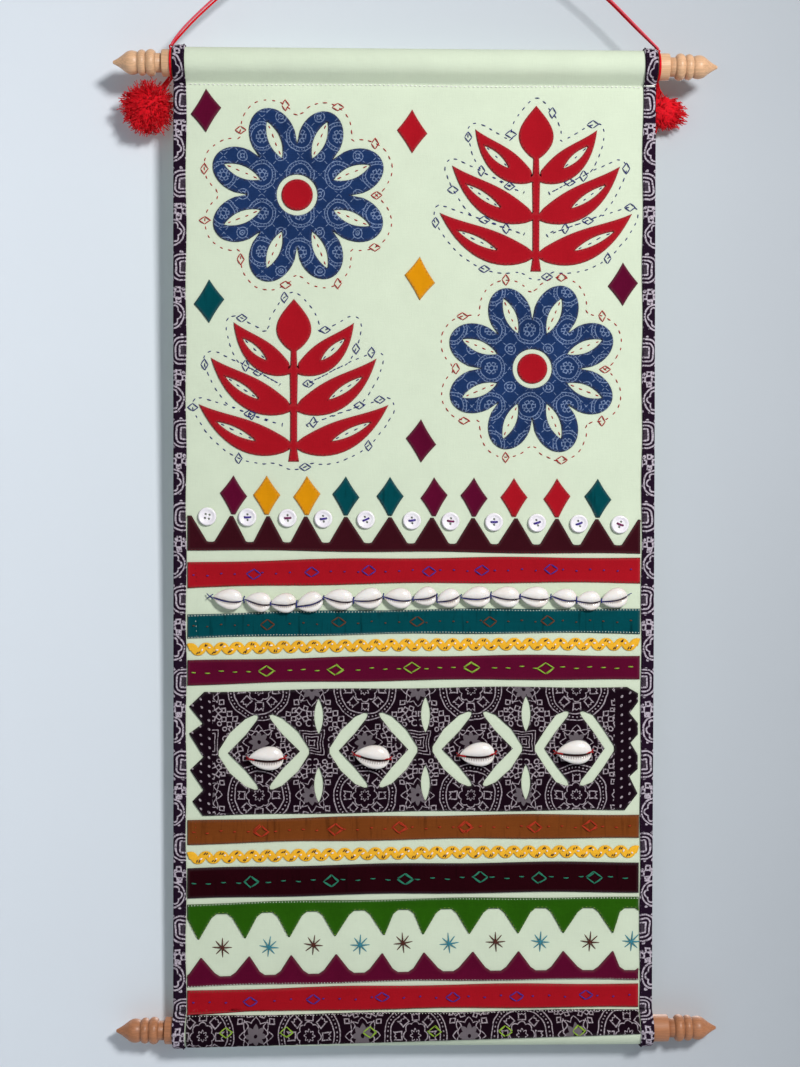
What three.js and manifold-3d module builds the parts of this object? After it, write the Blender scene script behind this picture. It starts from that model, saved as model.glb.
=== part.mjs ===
// An embroidered wall hanging on two wooden rods, with its red hanging cord and pompoms.
// Millimetres, +Z up, front towards -Y. The origin is the top of the cord, where a nail or hook holds it.

import * as THREE from 'three';
import { mergeVertices } from 'three/addons/utils/BufferGeometryUtils.js';
import Module from 'manifold-3d';

const wasm = await Module();
wasm.setup();

// ---------------------------------------------------------------- driving dimensions

const GAP = 0.3;                // air left between pieces that touch
const SHEET = 1;                // thickness of every cloth sheet
const CORD_DROP = 110;          // from the top of the cord to the top rod's centre
const ROD_SPACING = 607.6;      // from the top rod's centre to the bottom rod's centre
const ROD_RADIUS = 8.3;
const ROD_LENGTH = 318;
const ROD_SIDES = 24;
const CLOTH_HALF = 150.2;       // half the width of the ground cloth, inside its bindings
const BINDING_WIDTH = 8.2;      // front width of a side binding, to its outer edge
const BINDING_WAVE = 0.3;       // how far a binding's inner edge wanders
const SEAM_DROP = 12;           // from a rod's centre to the seam that closes its pocket
const HEM = 3;                  // how far the hem reaches past that seam
const HEM_BACK = 1.3;           // how far behind the cloth the hem's mid-line lies
const BAND_HALF = 142.6;        // half the length of a sewn band
const COLUMNS = 6;              // straight strips across the cloth
const PANEL_ROWS = 13;          // straight strips between the two seams
const POCKET_STEPS = 12;        // straight strips round a pocket

const TOP_ROD_Z = -CORD_DROP;
const BOTTOM_ROD_Z = TOP_ROD_Z - ROD_SPACING;
const TOP_SEAM_Z = TOP_ROD_Z - SEAM_DROP;
const BOTTOM_SEAM_Z = BOTTOM_ROD_Z + SEAM_DROP;
const CLOTH_FRONT = SHEET / 2;
const PATCH_NEAR = CLOTH_FRONT + GAP;
const PATCH_FAR = PATCH_NEAR + SHEET;
const EDGE_HALF = CLOTH_HALF + GAP + SHEET;

const COLOURS = {
  ground: '#d2dec4',
  blockPrint: '#23111f',
  red: '#a5141f',
  teal: '#00474f',
  plum: '#54092a',
  yellow: '#dc9212',
  maroon: '#3a111a',
  brown: '#6f3312',
  dark: '#28060f',
  green: '#2a5404',
  indigo: '#1b3058',
  wood: '#b98258',
  yarn: '#b00914',
  shell: '#efe6dc',
  button: '#f3efec',
};

// ---------------------------------------------------------------- meshes, joins and cuts

/** Turns a closed list of triangles into a geometry whose faces point outwards. */
function closedGeometry(points, triangles) {
  const geometry = new THREE.BufferGeometry();
  geometry.setAttribute('position', new THREE.Float32BufferAttribute(points.flat(), 3));
  const corner = (i) => new THREE.Vector3(...points[i]);
  const volume = triangles.reduce((sum, [a, b, c]) => sum + corner(a).dot(corner(b).cross(corner(c))), 0);
  const outwards = volume > 0 ? triangles : triangles.map(([a, b, c]) => [a, c, b]);
  geometry.setIndex(outwards.flat());
  return geometry;
}

/** A manifold solid from a closed geometry. */
function solidOf(geometry) {
  const bare = geometry.clone();
  bare.deleteAttribute('normal');
  bare.deleteAttribute('uv');
  const merged = mergeVertices(bare, 1e-4);
  return new wasm.Manifold(new wasm.Mesh({
    numProp: 3,
    vertProperties: new Float32Array(merged.attributes.position.array),
    triVerts: new Uint32Array(merged.index.array),
  }));
}

/** A geometry from a manifold solid. */
function geometryOf(solid) {
  const mesh = solid.getMesh();
  const geometry = new THREE.BufferGeometry();
  geometry.setAttribute('position', new THREE.Float32BufferAttribute(mesh.vertProperties, 3));
  geometry.setIndex([...mesh.triVerts]);
  return geometry;
}

/** A closed sheet over a grid of rows and columns; place(row, column, side) gives a point, side 0 or 1. */
function gridSheet(rows, columns, place) {
  const points = [];
  const at = (row, column, side) => (row * columns + column) * 2 + side;
  for (let row = 0; row < rows; row += 1) {
    for (let column = 0; column < columns; column += 1) {
      points.push(place(row, column, 0), place(row, column, 1));
    }
  }
  const triangles = [];
  const quad = (a, b, c, d) => triangles.push([a, b, c], [a, c, d]);
  for (let row = 0; row + 1 < rows; row += 1) {
    for (let column = 0; column + 1 < columns; column += 1) {
      quad(at(row, column, 1), at(row + 1, column, 1), at(row + 1, column + 1, 1), at(row, column + 1, 1));
      const [a, b] = [at(row, column, 0), at(row + 1, column, 0)];
      const [c, d] = [at(row + 1, column + 1, 0), at(row, column + 1, 0)];
      triangles.push([a, c, b], [a, d, c]);
    }
    const last = columns - 1;
    quad(at(row, 0, 0), at(row + 1, 0, 0), at(row + 1, 0, 1), at(row, 0, 1));
    quad(at(row, last, 1), at(row + 1, last, 1), at(row + 1, last, 0), at(row, last, 0));
  }
  for (let column = 0; column + 1 < columns; column += 1) {
    const last = rows - 1;
    quad(at(0, column, 1), at(0, column + 1, 1), at(0, column + 1, 0), at(0, column, 0));
    quad(at(last, column, 0), at(last, column + 1, 0), at(last, column + 1, 1), at(last, column, 1));
  }
  return closedGeometry(points, triangles);
}

/** A closed bar swept through rings of points, all rings alike in count. */
function sweptBar(rings) {
  const count = rings[0].length;
  const triangles = [];
  for (let ring = 0; ring + 1 < rings.length; ring += 1) {
    for (let k = 0; k < count; k += 1) {
      const next = (k + 1) % count;
      const [a, b] = [ring * count + k, ring * count + next];
      triangles.push([a, b, b + count], [a, b + count, a + count]);
    }
  }
  const outline = rings[0].map(([x, offset]) => new THREE.Vector2(x, offset));
  const caps = THREE.ShapeUtils.triangulateShape(outline, []);
  const end = (rings.length - 1) * count;
  const turned = THREE.ShapeUtils.area(outline) < 0;
  for (const [a, b, c] of caps) {
    triangles.push(turned ? [a, b, c] : [a, c, b]);
    triangles.push(turned ? [end + a, end + c, end + b] : [end + a, end + b, end + c]);
  }
  return closedGeometry(rings.flat().map((corner) => corner.slice(2)), triangles);
}

// ---------------------------------------------------------------- the hanging cloth's section

/** How far the hanging cloth stands behind its straight plane; v runs from 0 at the top seam to 1. */
function sway(x, v) {
  const u = x / CLOTH_HALF;
  const fade = Math.sin(Math.PI * v);
  return fade * (0.7 * Math.sin(2.1 * u + 5.2 * v) + 0.35 * Math.cos(4.3 * u - 3.1 * v));
}

/** The cloth's mid-line in its YZ section, from the hem behind the top rod to the hem behind the other. */
function sectionStations() {
  const strip = 2 * Math.PI / POCKET_STEPS * 0.76;
  const radius = (ROD_RADIUS + GAP + SHEET / 2) / Math.cos(strip / 2);
  const leave = Math.acos(radius / SEAM_DROP);
  const pocket = (centre, up) => {
    const arc = [];
    for (let step = 0; step <= POCKET_STEPS; step += 1) {
      const angle = leave + (2 * Math.PI - 2 * leave) * step / POCKET_STEPS;
      arc.push({ y: radius * Math.sin(angle), z: centre - up * radius * Math.cos(angle), v: 0 });
    }
    const seam = { y: HEM_BACK, z: centre - up * SEAM_DROP, v: 0 };
    const hem = { y: HEM_BACK, z: centre - up * (SEAM_DROP + HEM), v: 0 };
    return [hem, seam, ...arc];
  };
  const panel = [];
  for (let row = 0; row <= PANEL_ROWS; row += 1) {
    const v = row / PANEL_ROWS;
    panel.push({ y: 0, z: THREE.MathUtils.lerp(TOP_SEAM_Z, BOTTOM_SEAM_Z, v), v });
  }
  const stations = [...pocket(TOP_ROD_Z, 1), ...panel, ...pocket(BOTTOM_ROD_Z, -1).reverse()];
  const way = (from, to) => new THREE.Vector2(to.y - from.y, to.z - from.z).normalize();
  return stations.map((station, i) => {
    const before = way(stations[Math.max(i - 1, 0)], stations[Math.max(i, 1)]);
    const after = i + 1 < stations.length ? way(station, stations[i + 1]) : before;
    const mitre = 1 + before.dot(after);
    return { ...station, ny: (before.y + after.y) / mitre, nz: -(before.x + after.x) / mitre };
  });
}

const STATIONS = sectionStations();
const PANEL_START = POCKET_STEPS + 3;
const PANEL_STATIONS = STATIONS.slice(PANEL_START, PANEL_START + PANEL_ROWS + 1);

/** The point at x across, on one station of the cloth, offset outwards from its mid-line. */
function clothPoint(x, station, offset) {
  const y = station.y + sway(x, station.v) + station.ny * offset;
  return [x, y, station.z + station.nz * offset];
}

/** The same, given as a ring corner that also keeps its flat section coordinates. */
function ringCorner(x, station, offset) {
  return [x, offset, ...clothPoint(x, station, offset)];
}

/** A sheet over some of the stations, the cloth's full width, between two offsets. */
function clothLayer(stations, near, far) {
  const across = (column) => CLOTH_HALF * (2 * column / COLUMNS - 1);
  const place = (row, column, side) => clothPoint(across(column), stations[row], side ? far : near);
  return gridSheet(stations.length, COLUMNS + 1, place);
}

const PATCH_LAYER = solidOf(clothLayer(PANEL_STATIONS, PATCH_NEAR, PATCH_FAR));

/** A straight prism through the cloth from an outline of [x, z] points, with optional holes. */
function prism(outline, holes = [], depth = 40) {
  const shape = new THREE.Shape(outline.map(([x, z]) => new THREE.Vector2(x, z)));
  shape.holes = holes.map((hole) => new THREE.Path(hole.map(([x, z]) => new THREE.Vector2(x, z))));
  const geometry = new THREE.ExtrudeGeometry(shape, { depth, bevelEnabled: false, steps: 1 });
  geometry.rotateX(Math.PI / 2);
  geometry.translate(0, depth / 2, 0);
  return solidOf(geometry);
}

/** A patch that lies on the cloth with the given outline. */
function patch(outline, holes = []) {
  return prism(outline, holes).intersect(PATCH_LAYER);
}

// ---------------------------------------------------------------- outlines, in mm below the top rod

/** How much higher sewn work sits at x than on the middle line: the bands hang a little askew. */
function askew(x) {
  const u = x / BAND_HALF;
  return 1.7 * u - 1.4 * u * u;
}

/** A point of an outline: x across, and how far it is below the top rod on the middle line. */
function below(x, drop) {
  return [x, TOP_ROD_Z - drop + askew(x)];
}

/** A point of the row of diamonds and buttons, which hangs almost level. */
function level(x, drop) {
  return [x, TOP_ROD_Z - drop - 0.007 * x];
}

/** Even points along a band's edge, from its left end to its right end, with a slight wander. */
function bandEdge(drop, count = 10) {
  const edge = [];
  for (let i = 0; i <= count; i += 1) {
    const x = BAND_HALF * (2 * i / count - 1);
    edge.push(below(x, drop + 0.35 * Math.sin(x / 17 + drop)));
  }
  return edge;
}

/** The outline of a straight band between two drops. */
function bandOutline(top, bottom) {
  return [...bandEdge(bottom), ...bandEdge(top).reverse()];
}

/** A row of teeth from its first tip to its last; place turns x and a drop into a point. */
function toothEdge({ tips, tipDrop, valleyDrop, tipHalf, valleyHalf, shoulder, place = below }) {
  const slope = Math.sign(tipDrop - valleyDrop) * shoulder;
  return tips.flatMap((tip, i) => {
    const edge = [place(tip - tipHalf, tipDrop), place(tip + tipHalf, tipDrop)];
    if (i + 1 < tips.length) {
      const middle = (tip + tips[i + 1]) / 2;
      edge.push(place(middle - valleyHalf, valleyDrop + slope), place(middle - valleyHalf / 2, valleyDrop));
      edge.push(place(middle + valleyHalf / 2, valleyDrop), place(middle + valleyHalf, valleyDrop + slope));
    }
    return edge;
  });
}

/** The part of a patch that shows between the bindings. */
function betweenBindings(solid) {
  const corner = (side, z) => [side * BAND_HALF, z];
  const bottom = [corner(-1, BOTTOM_ROD_Z), corner(1, BOTTOM_ROD_Z)];
  return solid.intersect(prism([...bottom, corner(1, TOP_ROD_Z), corner(-1, TOP_ROD_Z)]));
}

/** A saw-toothed border from its toothed edge and the drop of its straight edge. */
function toothedBorder(teeth, straight) {
  const wide = (edge) => [[edge[0][0] - 20, edge[0][1]], ...edge, [edge.at(-1)[0] + 20, edge.at(-1)[1]]];
  return betweenBindings(patch([...wide(bandEdge(straight)), ...wide(teeth).reverse()]));
}

/** A lens-shaped slit, pointed at both ends. */
function lens(centre, length, width, turn, steps = 3) {
  const side = (sign) => Array.from({ length: steps }, (_, i) => {
    const t = i / steps;
    return [(t - 0.5) * length * sign, Math.sin(Math.PI * t) * width / 2 * sign];
  });
  const [c, s] = [Math.cos(turn), Math.sin(turn)];
  return [...side(1), ...side(-1)].map(([a, b]) => [centre[0] + a * c - b * s, centre[1] + a * s + b * c]);
}

/** A hand-cut diamond, its left and right corners a little uneven. */
function diamond([x, z], halfWidth, above, under, lean) {
  return [[x, z - under], [x + halfWidth, z + lean], [x, z + above], [x - halfWidth, z - lean]];
}

/** A round outline of a few straight sides. */
function roundOutline([x, z], radius, sides) {
  return Array.from({ length: sides }, (_, i) => {
    const angle = 2 * Math.PI * i / sides;
    return [x + radius * Math.cos(angle), z + radius * Math.sin(angle)];
  });
}

// ---------------------------------------------------------------- cloth, bindings and rods

const group = new THREE.Group();
const finish = { cloth: [0.95, 0], wood: [0.45, 0], shell: [0.3, 0], button: [0.35, 0], yarn: [1, 0] };

/** Adds a named piece to the hanging. */
function add(name, geometry, colour, look = 'cloth') {
  const [roughness, metalness] = finish[look];
  const material = new THREE.MeshStandardMaterial({ color: COLOURS[colour], roughness, metalness });
  const piece = new THREE.Mesh(geometry, material);
  piece.name = name;
  group.add(piece);
  return piece;
}

/** One side binding: folded round the cloth's raw edge, front and back. */
function binding(side) {
  const inner = (station) => EDGE_HALF - BINDING_WIDTH + BINDING_WAVE * Math.sin(station.z / 11 + side);
  const wall = EDGE_HALF - SHEET;
  const bar = (stations, corners) => solidOf(sweptBar(stations.map((station) => (
    corners(inner(station)).map(([x, offset]) => ringCorner(side * x, station, offset))
  ))));
  const outer = bar(STATIONS, (start) => [
    [start, PATCH_NEAR], [wall, PATCH_NEAR], [wall, -CLOTH_FRONT],
    [EDGE_HALF, -CLOTH_FRONT], [EDGE_HALF, PATCH_FAR], [start, PATCH_FAR],
  ]);
  const back = bar(PANEL_STATIONS.slice(1, -1), (start) => [
    [start, -PATCH_FAR], [EDGE_HALF, -PATCH_FAR], [EDGE_HALF, 0],
    [wall, 0], [wall, -PATCH_NEAR], [start, -PATCH_NEAR],
  ]);
  return geometryOf(outer.add(back));
}

add('ground_cloth', clothLayer(STATIONS, -SHEET / 2, SHEET / 2), 'ground');
add('binding_left', binding(-1), 'blockPrint');
add('binding_right', binding(1), 'blockPrint');

// Turned rod end, outwards from the dowel: a neck, two beads and an onion with a blunt tip.
const NECK = { length: 3.6, radius: 5.9 };
const BEADS = [{ length: 6.1, radius: 8.3 }, { length: 5.1, radius: 7.9 }];
const ONION = { length: 15.7, radius: 7.3, tip: 0.9 };
const BEAD_STEPS = 3;
const ONION_PROFILE = [
  { along: 0.12, width: 0.93 }, { along: 0.3, width: 1 }, { along: 0.5, width: 0.8 },
  { along: 0.68, width: 0.5 }, { along: 0.86, width: 0.25 },
];

/** A finial standing on its dowel end at the origin, pointing along +X. */
function finial() {
  const profile = [[0, 0], [NECK.radius, 0], [NECK.radius, NECK.length]];
  let reached = NECK.length;
  for (const bead of BEADS) {
    for (let step = 1; step <= BEAD_STEPS; step += 1) {
      const t = step / BEAD_STEPS;
      const swell = Math.sin(Math.PI * t);
      profile.push([THREE.MathUtils.lerp(6.4, bead.radius, swell), reached + bead.length * t]);
    }
    reached += bead.length;
  }
  for (const { along, width } of ONION_PROFILE) {
    profile.push([ONION.radius * width, reached + ONION.length * along]);
  }
  profile.push([ONION.tip, reached + ONION.length], [0, reached + ONION.length]);
  const geometry = new THREE.LatheGeometry(profile.map(([r, h]) => new THREE.Vector2(r, h)), 12);
  geometry.rotateZ(-Math.PI / 2);
  return geometry;
}

const RODS = [
  { name: 'top_rod', z: TOP_ROD_Z, shift: 0.6 },
  { name: 'bottom_rod', z: BOTTOM_ROD_Z, shift: 2.5 },
];
for (const { name, z, shift } of RODS) {
  const dowel = new THREE.CylinderGeometry(ROD_RADIUS, ROD_RADIUS, ROD_LENGTH, ROD_SIDES);
  dowel.rotateZ(Math.PI / 2);
  add(name, dowel, 'wood', 'wood').position.set(shift, 0, z);
  for (const [end, side] of [['left', -1], ['right', 1]]) {
    const knob = add(`${name}_finial_${end}`, finial(), 'wood', 'wood');
    knob.position.set(shift + side * (ROD_LENGTH / 2 + GAP), 0, z);
    knob.rotation.z = side < 0 ? Math.PI : 0;
  }
}

// ---------------------------------------------------------------- hanging cord, ties and pompoms

const STRAND_DIAMETER = 1.4;
const TIE = { inner: ROD_RADIUS + GAP, thickness: 1.2, width: 1.6 };

// The doubled cord's middle line from the left rod end over the top to the right one. apart is half the
// distance between the strands in the cord's own plane, with its sign for which is above; deep is half
// their distance from front to back.
const CORD_ROUTE = [
  { x: -152.8, z: -99.1, apart: 0, deep: 0.9 },
  { x: -150, z: -95.2, apart: 0.4, deep: 0.8 },
  { x: -145.4, z: -89.6, apart: 0.65, deep: 0.62 },
  { x: -137, z: -80.8, apart: 0.65, deep: 0.62 },
  { x: -123, z: -67.9, apart: 0.65, deep: 0.62 },
  { x: -110, z: -56.9, apart: 0.4, deep: 0.8 },
  { x: -96, z: -46.3, apart: 0, deep: 0.9 },
  { x: -78, z: -34.6, apart: -0.4, deep: 0.8 },
  { x: -56, z: -22.5, apart: -0.5, deep: 0.75 },
  { x: -34, z: -12.3, apart: 0.2, deep: 0.9 },
  { x: -16, z: -5.1, apart: 0, deep: 0.9 },
  { x: -5, z: -1.15, apart: 0, deep: 0.9 },
  { x: -2.4, z: -0.2, apart: 0, deep: 0.9 },
  { x: 0, z: 0.45, apart: 0, deep: 0.9 },
  { x: 2.4, z: -0.2, apart: 0, deep: 0.9 },
  { x: 5, z: -1.2, apart: 0, deep: 0.9 },
  { x: 16, z: -5.2, apart: 0, deep: 0.9 },
  { x: 34, z: -12.5, apart: -0.3, deep: 0.85 },
  { x: 56, z: -22.8, apart: 0.3, deep: 0.85 },
  { x: 78, z: -35, apart: 0.5, deep: 0.75 },
  { x: 96, z: -47, apart: 0.5, deep: 0.75 },
  { x: 110, z: -58.1, apart: 0.4, deep: 0.8 },
  { x: 123, z: -69.7, apart: 0.4, deep: 0.8 },
  { x: 139.4, z: -85.9, apart: 0.3, deep: 0.85 },
  { x: 153, z: -99.1, apart: 0, deep: 0.9 },
];
const CORD_STEPS = 28;

/** A curve through a route whose steps follow the route's own points, closer together where it bends. */
class RouteCurve extends THREE.CatmullRomCurve3 {
  getPointAt(u, target) {
    return this.getPoint(u, target);
  }

  getTangentAt(u, target) {
    return this.getTangent(u, target);
  }
}

/** The round cross-section of a strand or thread. */
function roundSection(diameter, sides) {
  return new THREE.Shape(roundOutline([0, 0], diameter / 2, sides).map(([x, y]) => new THREE.Vector2(x, y)));
}

/** One strand of the cord: which is 1 for the front strand and -1 for the back one. */
function strand(which) {
  const points = CORD_ROUTE.map(({ x, z, apart, deep }, i) => {
    const from = CORD_ROUTE[Math.max(i - 1, 0)];
    const to = CORD_ROUTE[Math.min(i + 1, CORD_ROUTE.length - 1)];
    const across = new THREE.Vector2(from.z - to.z, to.x - from.x).normalize().multiplyScalar(apart * which);
    return new THREE.Vector3(x + across.x, -deep * which, z + across.y);
  });
  const extrudePath = new RouteCurve(points, false, 'centripetal');
  return new THREE.ExtrudeGeometry(roundSection(STRAND_DIAMETER, 8), { steps: CORD_STEPS, extrudePath });
}

add('cord_front', strand(1), 'yarn', 'yarn');
add('cord_back', strand(-1), 'yarn', 'yarn');

/** The cord's turns round a rod, as one ring about the X axis. */
function tieRing() {
  const { inner, thickness, width } = TIE;
  const outer = inner + thickness;
  const profile = [[inner, 0], [outer, 0], [outer, width], [inner, width], [inner, 0]];
  const ring = new THREE.LatheGeometry(profile.map(([r, h]) => new THREE.Vector2(r, h)), 16);
  ring.rotateY(Math.PI / 16);
  ring.rotateZ(-Math.PI / 2);
  return ring;
}

// Pompoms hang under the tied rod ends, mostly behind the cloth's plane.
const POMPOMS = [
  { side: 'left', tie: -(EDGE_HALF + GAP + TIE.width), x: -168.5, y: 9.5, z: -26, rx: 18, ry: 10, rz: 18 },
  { side: 'right', tie: EDGE_HALF + GAP, x: 157.8, y: 13.5, z: -25, rx: 16, ry: 10, rz: 12.5 },
];

/** A closed ball of radius 1 whose corners are shared by their faces. */
function unitBall(around, along) {
  const ball = new THREE.SphereGeometry(1, around, along);
  ball.deleteAttribute('normal');
  ball.deleteAttribute('uv');
  return mergeVertices(ball);
}

/** An uneven ball of cut yarn, wider below than above. */
function pompom({ rx, ry, rz }) {
  const ball = unitBall(16, 10);
  const place = ball.attributes.position;
  for (let i = 0; i < place.count; i += 1) {
    const [x, y, z] = [place.getX(i), place.getY(i), place.getZ(i)];
    const ragged = 1 + 0.04 * Math.sin(7 * x + 3 * z) * Math.cos(6 * z - 4 * y);
    const taper = 1 - 0.12 * z;
    place.setXYZ(i, x * rx * ragged * taper, y * ry * ragged, z * rz * ragged);
  }
  return ball;
}

for (const { side, tie, x, y, z, ...size } of POMPOMS) {
  add(`rod_tie_${side}`, tieRing(), 'yarn', 'yarn').position.set(tie, 0, TOP_ROD_Z);
  add(`pompom_${side}`, pompom(size), 'yarn', 'yarn').position.set(x, y, TOP_ROD_Z + z);
}

// ---------------------------------------------------------------- upper field: rosettes and leaf sprays

const ROSETTES = [
  { name: 'upper_left', x: -74, drop: 82, radius: 58 },
  { name: 'lower_right', x: 74, drop: 190, radius: 56 },
];
const PETALS = 8;
const PETAL_STEPS = 6;
const ROSETTE_HOLE = 0.22;
const ROSETTE_CENTRE = 0.17;

/** The outline of a rosette of round petals, each cut a little differently. */
function rosetteOutline({ x, drop, radius }) {
  const outline = [];
  for (let i = 0; i < PETALS * PETAL_STEPS; i += 1) {
    const angle = 2 * Math.PI * i / (PETALS * PETAL_STEPS);
    const petal = Math.abs(Math.sin(PETALS * angle / 2)) ** 0.6;
    const reach = radius * (0.56 + 0.42 * petal + 0.02 * Math.sin(3 * angle + x));
    outline.push([x + reach * Math.cos(angle), TOP_ROD_Z - drop + reach * Math.sin(angle)]);
  }
  return outline;
}

/** The slits in a rosette's petals and the hole for its centre. */
function rosetteHoles({ x, drop, radius }) {
  const centre = [x, TOP_ROD_Z - drop];
  const holes = [roundOutline(centre, radius * ROSETTE_HOLE, 12)];
  for (let petal = 0; petal < PETALS; petal += 1) {
    const angle = 2 * Math.PI * (petal + 0.5) / PETALS;
    const reach = radius * 0.64;
    const middle = [centre[0] + reach * Math.cos(angle), centre[1] + reach * Math.sin(angle)];
    holes.push(lens(middle, radius * 0.42, radius * 0.13, angle));
  }
  return holes;
}

for (const rosette of ROSETTES) {
  add(`rosette_${rosette.name}`, geometryOf(patch(rosetteOutline(rosette), rosetteHoles(rosette))), 'indigo');
  const centre = roundOutline([rosette.x, TOP_ROD_Z - rosette.drop], rosette.radius * ROSETTE_CENTRE, 12);
  add(`rosette_centre_${rosette.name}`, geometryOf(patch(centre)), 'red');
}

const SPRAYS = [
  { name: 'upper_right', x: 76, drop: 129, height: 104 },
  { name: 'lower_left', x: -76, drop: 249, height: 102 },
];
const STEM = { foot: 3.4, head: 1.8 };
const TOP_LEAF = { length: 0.32, width: 20 };
const LEAF_ROOT = 2.4;
const LEAF_STEPS = 5;
// Side leaves from the foot up: at is the height on the stem, length a share of the stem's.
const LEAVES = [
  { at: 0.1, length: 0.62, rise: 2, width: 19 },
  { at: 0.33, length: 0.58, rise: 10, width: 19 },
  { at: 0.56, length: 0.46, rise: 18, width: 17 },
];

/** A point on a leaf's middle line, on the right-hand side of the stem: the leaf bends upwards. */
function leafAxis({ at, length, rise }, height, t) {
  const reach = length * height * t;
  const angle = THREE.MathUtils.degToRad(rise + 22 * t);
  return [STEM.head + reach * Math.cos(angle), height * at + reach * Math.sin(angle)];
}

/** Half the width of a leaf at t along it. */
function leafHalf(width, t) {
  return LEAF_ROOT * (1 - t) + width / 2 * Math.sin(Math.PI * t ** 0.85) * 0.9;
}

/** The right-hand half of a spray's outline, from the foot of the stem to the top leaf's tip. */
function sprayHalf(height) {
  const half = [[STEM.foot, 0]];
  for (const leaf of LEAVES) {
    const edge = (sign, t) => {
      const [x, z] = leafAxis(leaf, height, t);
      const lean = THREE.MathUtils.degToRad(leaf.rise + 34 * t);
      const wide = leafHalf(leaf.width, t) * sign;
      return [Math.max(x - wide * Math.sin(lean), STEM.head + 0.4), z + wide * Math.cos(lean)];
    };
    for (let step = 0; step < LEAF_STEPS; step += 1) {
      half.push(edge(-1, step / LEAF_STEPS));
    }
    half.push(leafAxis(leaf, height, 1));
    for (let step = LEAF_STEPS - 1; step >= 0; step -= 1) {
      half.push(edge(1, step / LEAF_STEPS));
    }
  }
  for (let step = 0; step < LEAF_STEPS; step += 1) {
    const t = step / LEAF_STEPS;
    const wide = STEM.head * (1 - t) + TOP_LEAF.width / 2 * Math.sin(Math.PI * t ** 0.85);
    half.push([wide, height * (1 - TOP_LEAF.length * (1 - t))]);
  }
  return half;
}

/** A spray's outline, and a slit in every side leaf. */
function spray({ x, drop, height }) {
  const half = sprayHalf(height);
  const foot = TOP_ROD_Z - drop;
  const right = half.map(([a, b]) => [x + a, foot + b]);
  const left = half.map(([a, b]) => [x - a, foot + b]).reverse();
  const holes = [];
  for (const leaf of LEAVES) {
    for (const sign of [1, -1]) {
      const [a, b] = leafAxis(leaf, height, 0.56);
      const turn = THREE.MathUtils.degToRad(leaf.rise + 24);
      holes.push(lens([x + sign * a, foot + b], leaf.length * height * 0.42, 4.4, sign > 0 ? turn : -turn));
    }
  }
  return patch([...right, [x, foot + height], ...left], holes);
}

for (const motif of SPRAYS) {
  add(`leaf_spray_${motif.name}`, geometryOf(spray(motif)), 'red');
}

// ---------------------------------------------------------------- row of diamonds and shirt buttons

const ROW_DIAMONDS = [
  { x: -113.7, colour: 'plum' }, { x: -92.9, colour: 'yellow' }, { x: -67.7, colour: 'yellow' },
  { x: -43.2, colour: 'teal' }, { x: -15.4, colour: 'teal' }, { x: 12.3, colour: 'plum' },
  { x: 37.5, colour: 'plum' }, { x: 62.7, colour: 'red' }, { x: 89.8, colour: 'red' },
  { x: 115.6, colour: 'teal' },
];
const DIAMOND_DROP = 270.6;
ROW_DIAMONDS.forEach(({ x, colour }, i) => {
  const [, z] = level(x, DIAMOND_DROP);
  const outline = diamond([x, z], 8.6, 12, 11.6, i % 3 - 1);
  add(`diamond_${i + 1}_${colour}`, geometryOf(patch(outline)), colour);
});

const BUTTON = { radius: 5.75, rim: 2.2, dish: 1.3, sides: 14, first: 284.4, last: 287.1 };
const BUTTON_XS = [-130.1, -104.9, -79.7, -57.3, -30.6, -1.6, 22.7, 50.1, 77.2, 103.6, 129.5];

/** Where the cloth's front face lies at a point below the top rod. */
function clothFront(x, z) {
  return sway(x, (TOP_SEAM_Z - z) / (TOP_SEAM_Z - BOTTOM_SEAM_Z)) - CLOTH_FRONT;
}

/** A dished shirt button facing the front. */
function button() {
  const { radius, rim, dish } = BUTTON;
  const profile = [
    [0, 0], [radius, 0], [radius, rim * 0.7], [radius * 0.86, rim], [radius * 0.62, dish], [0, dish],
  ];
  const disc = new THREE.LatheGeometry(profile.map(([r, h]) => new THREE.Vector2(r, h)), BUTTON.sides);
  disc.rotateX(Math.PI);
  return disc;
}

const buttonPlaces = BUTTON_XS.map((x, i) => {
  const drop = THREE.MathUtils.lerp(BUTTON.first, BUTTON.last, i / (BUTTON_XS.length - 1));
  return { x, z: level(x, drop)[1] };
});
buttonPlaces.forEach(({ x, z }, i) => {
  add(`button_${i + 1}`, button(), 'button', 'button').position.set(x, clothFront(x, z) - GAP - 0.1, z);
});

// ---------------------------------------------------------------- bands, saw-teeth and rickrack

const maroonTeeth = toothEdge({
  tips: [-141, -115, -92, -68.4, -43.2, -15.4, 11, 36.9, 64, 89.8, 115, 142],
  tipDrop: 283.5, valleyDrop: 300.2, tipHalf: 0.9, valleyHalf: 2.4, shoulder: 0.4, place: level,
});
const roomForButtons = buttonPlaces.map(({ x, z }) => prism(roundOutline([x, z], BUTTON.radius + 0.4, 14)));
const maroonBorder = toothedBorder(maroonTeeth, 305.6);
const maroon = roomForButtons.reduce((cloth, room) => cloth.subtract(room), maroonBorder);
add('maroon_teeth', geometryOf(maroon), 'maroon');

const greenTeeth = toothEdge({
  tips: [-162, -135.5, -106.2, -78.4, -49.5, -18.6, 6, 35.3, 66.2, 94.8, 126.3, 148],
  tipDrop: 547.2, valleyDrop: 531.4, tipHalf: 0.4, valleyHalf: 6.5, shoulder: 2.6,
});
add('green_teeth', geometryOf(toothedBorder(greenTeeth, 524.5)), 'green');

const plumTeeth = toothEdge({
  tips: [-162, -133.9, -103.6, -77.2, -48.8, -19.8, 6.6, 37.5, 66.5, 94.8, 126.3, 148],
  tipDrop: 558.8, valleyDrop: 570.8, tipHalf: 0.4, valleyHalf: 6.5, shoulder: 2.2,
});
add('plum_teeth', geometryOf(toothedBorder(plumTeeth, 576.8)), 'plum');

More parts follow.
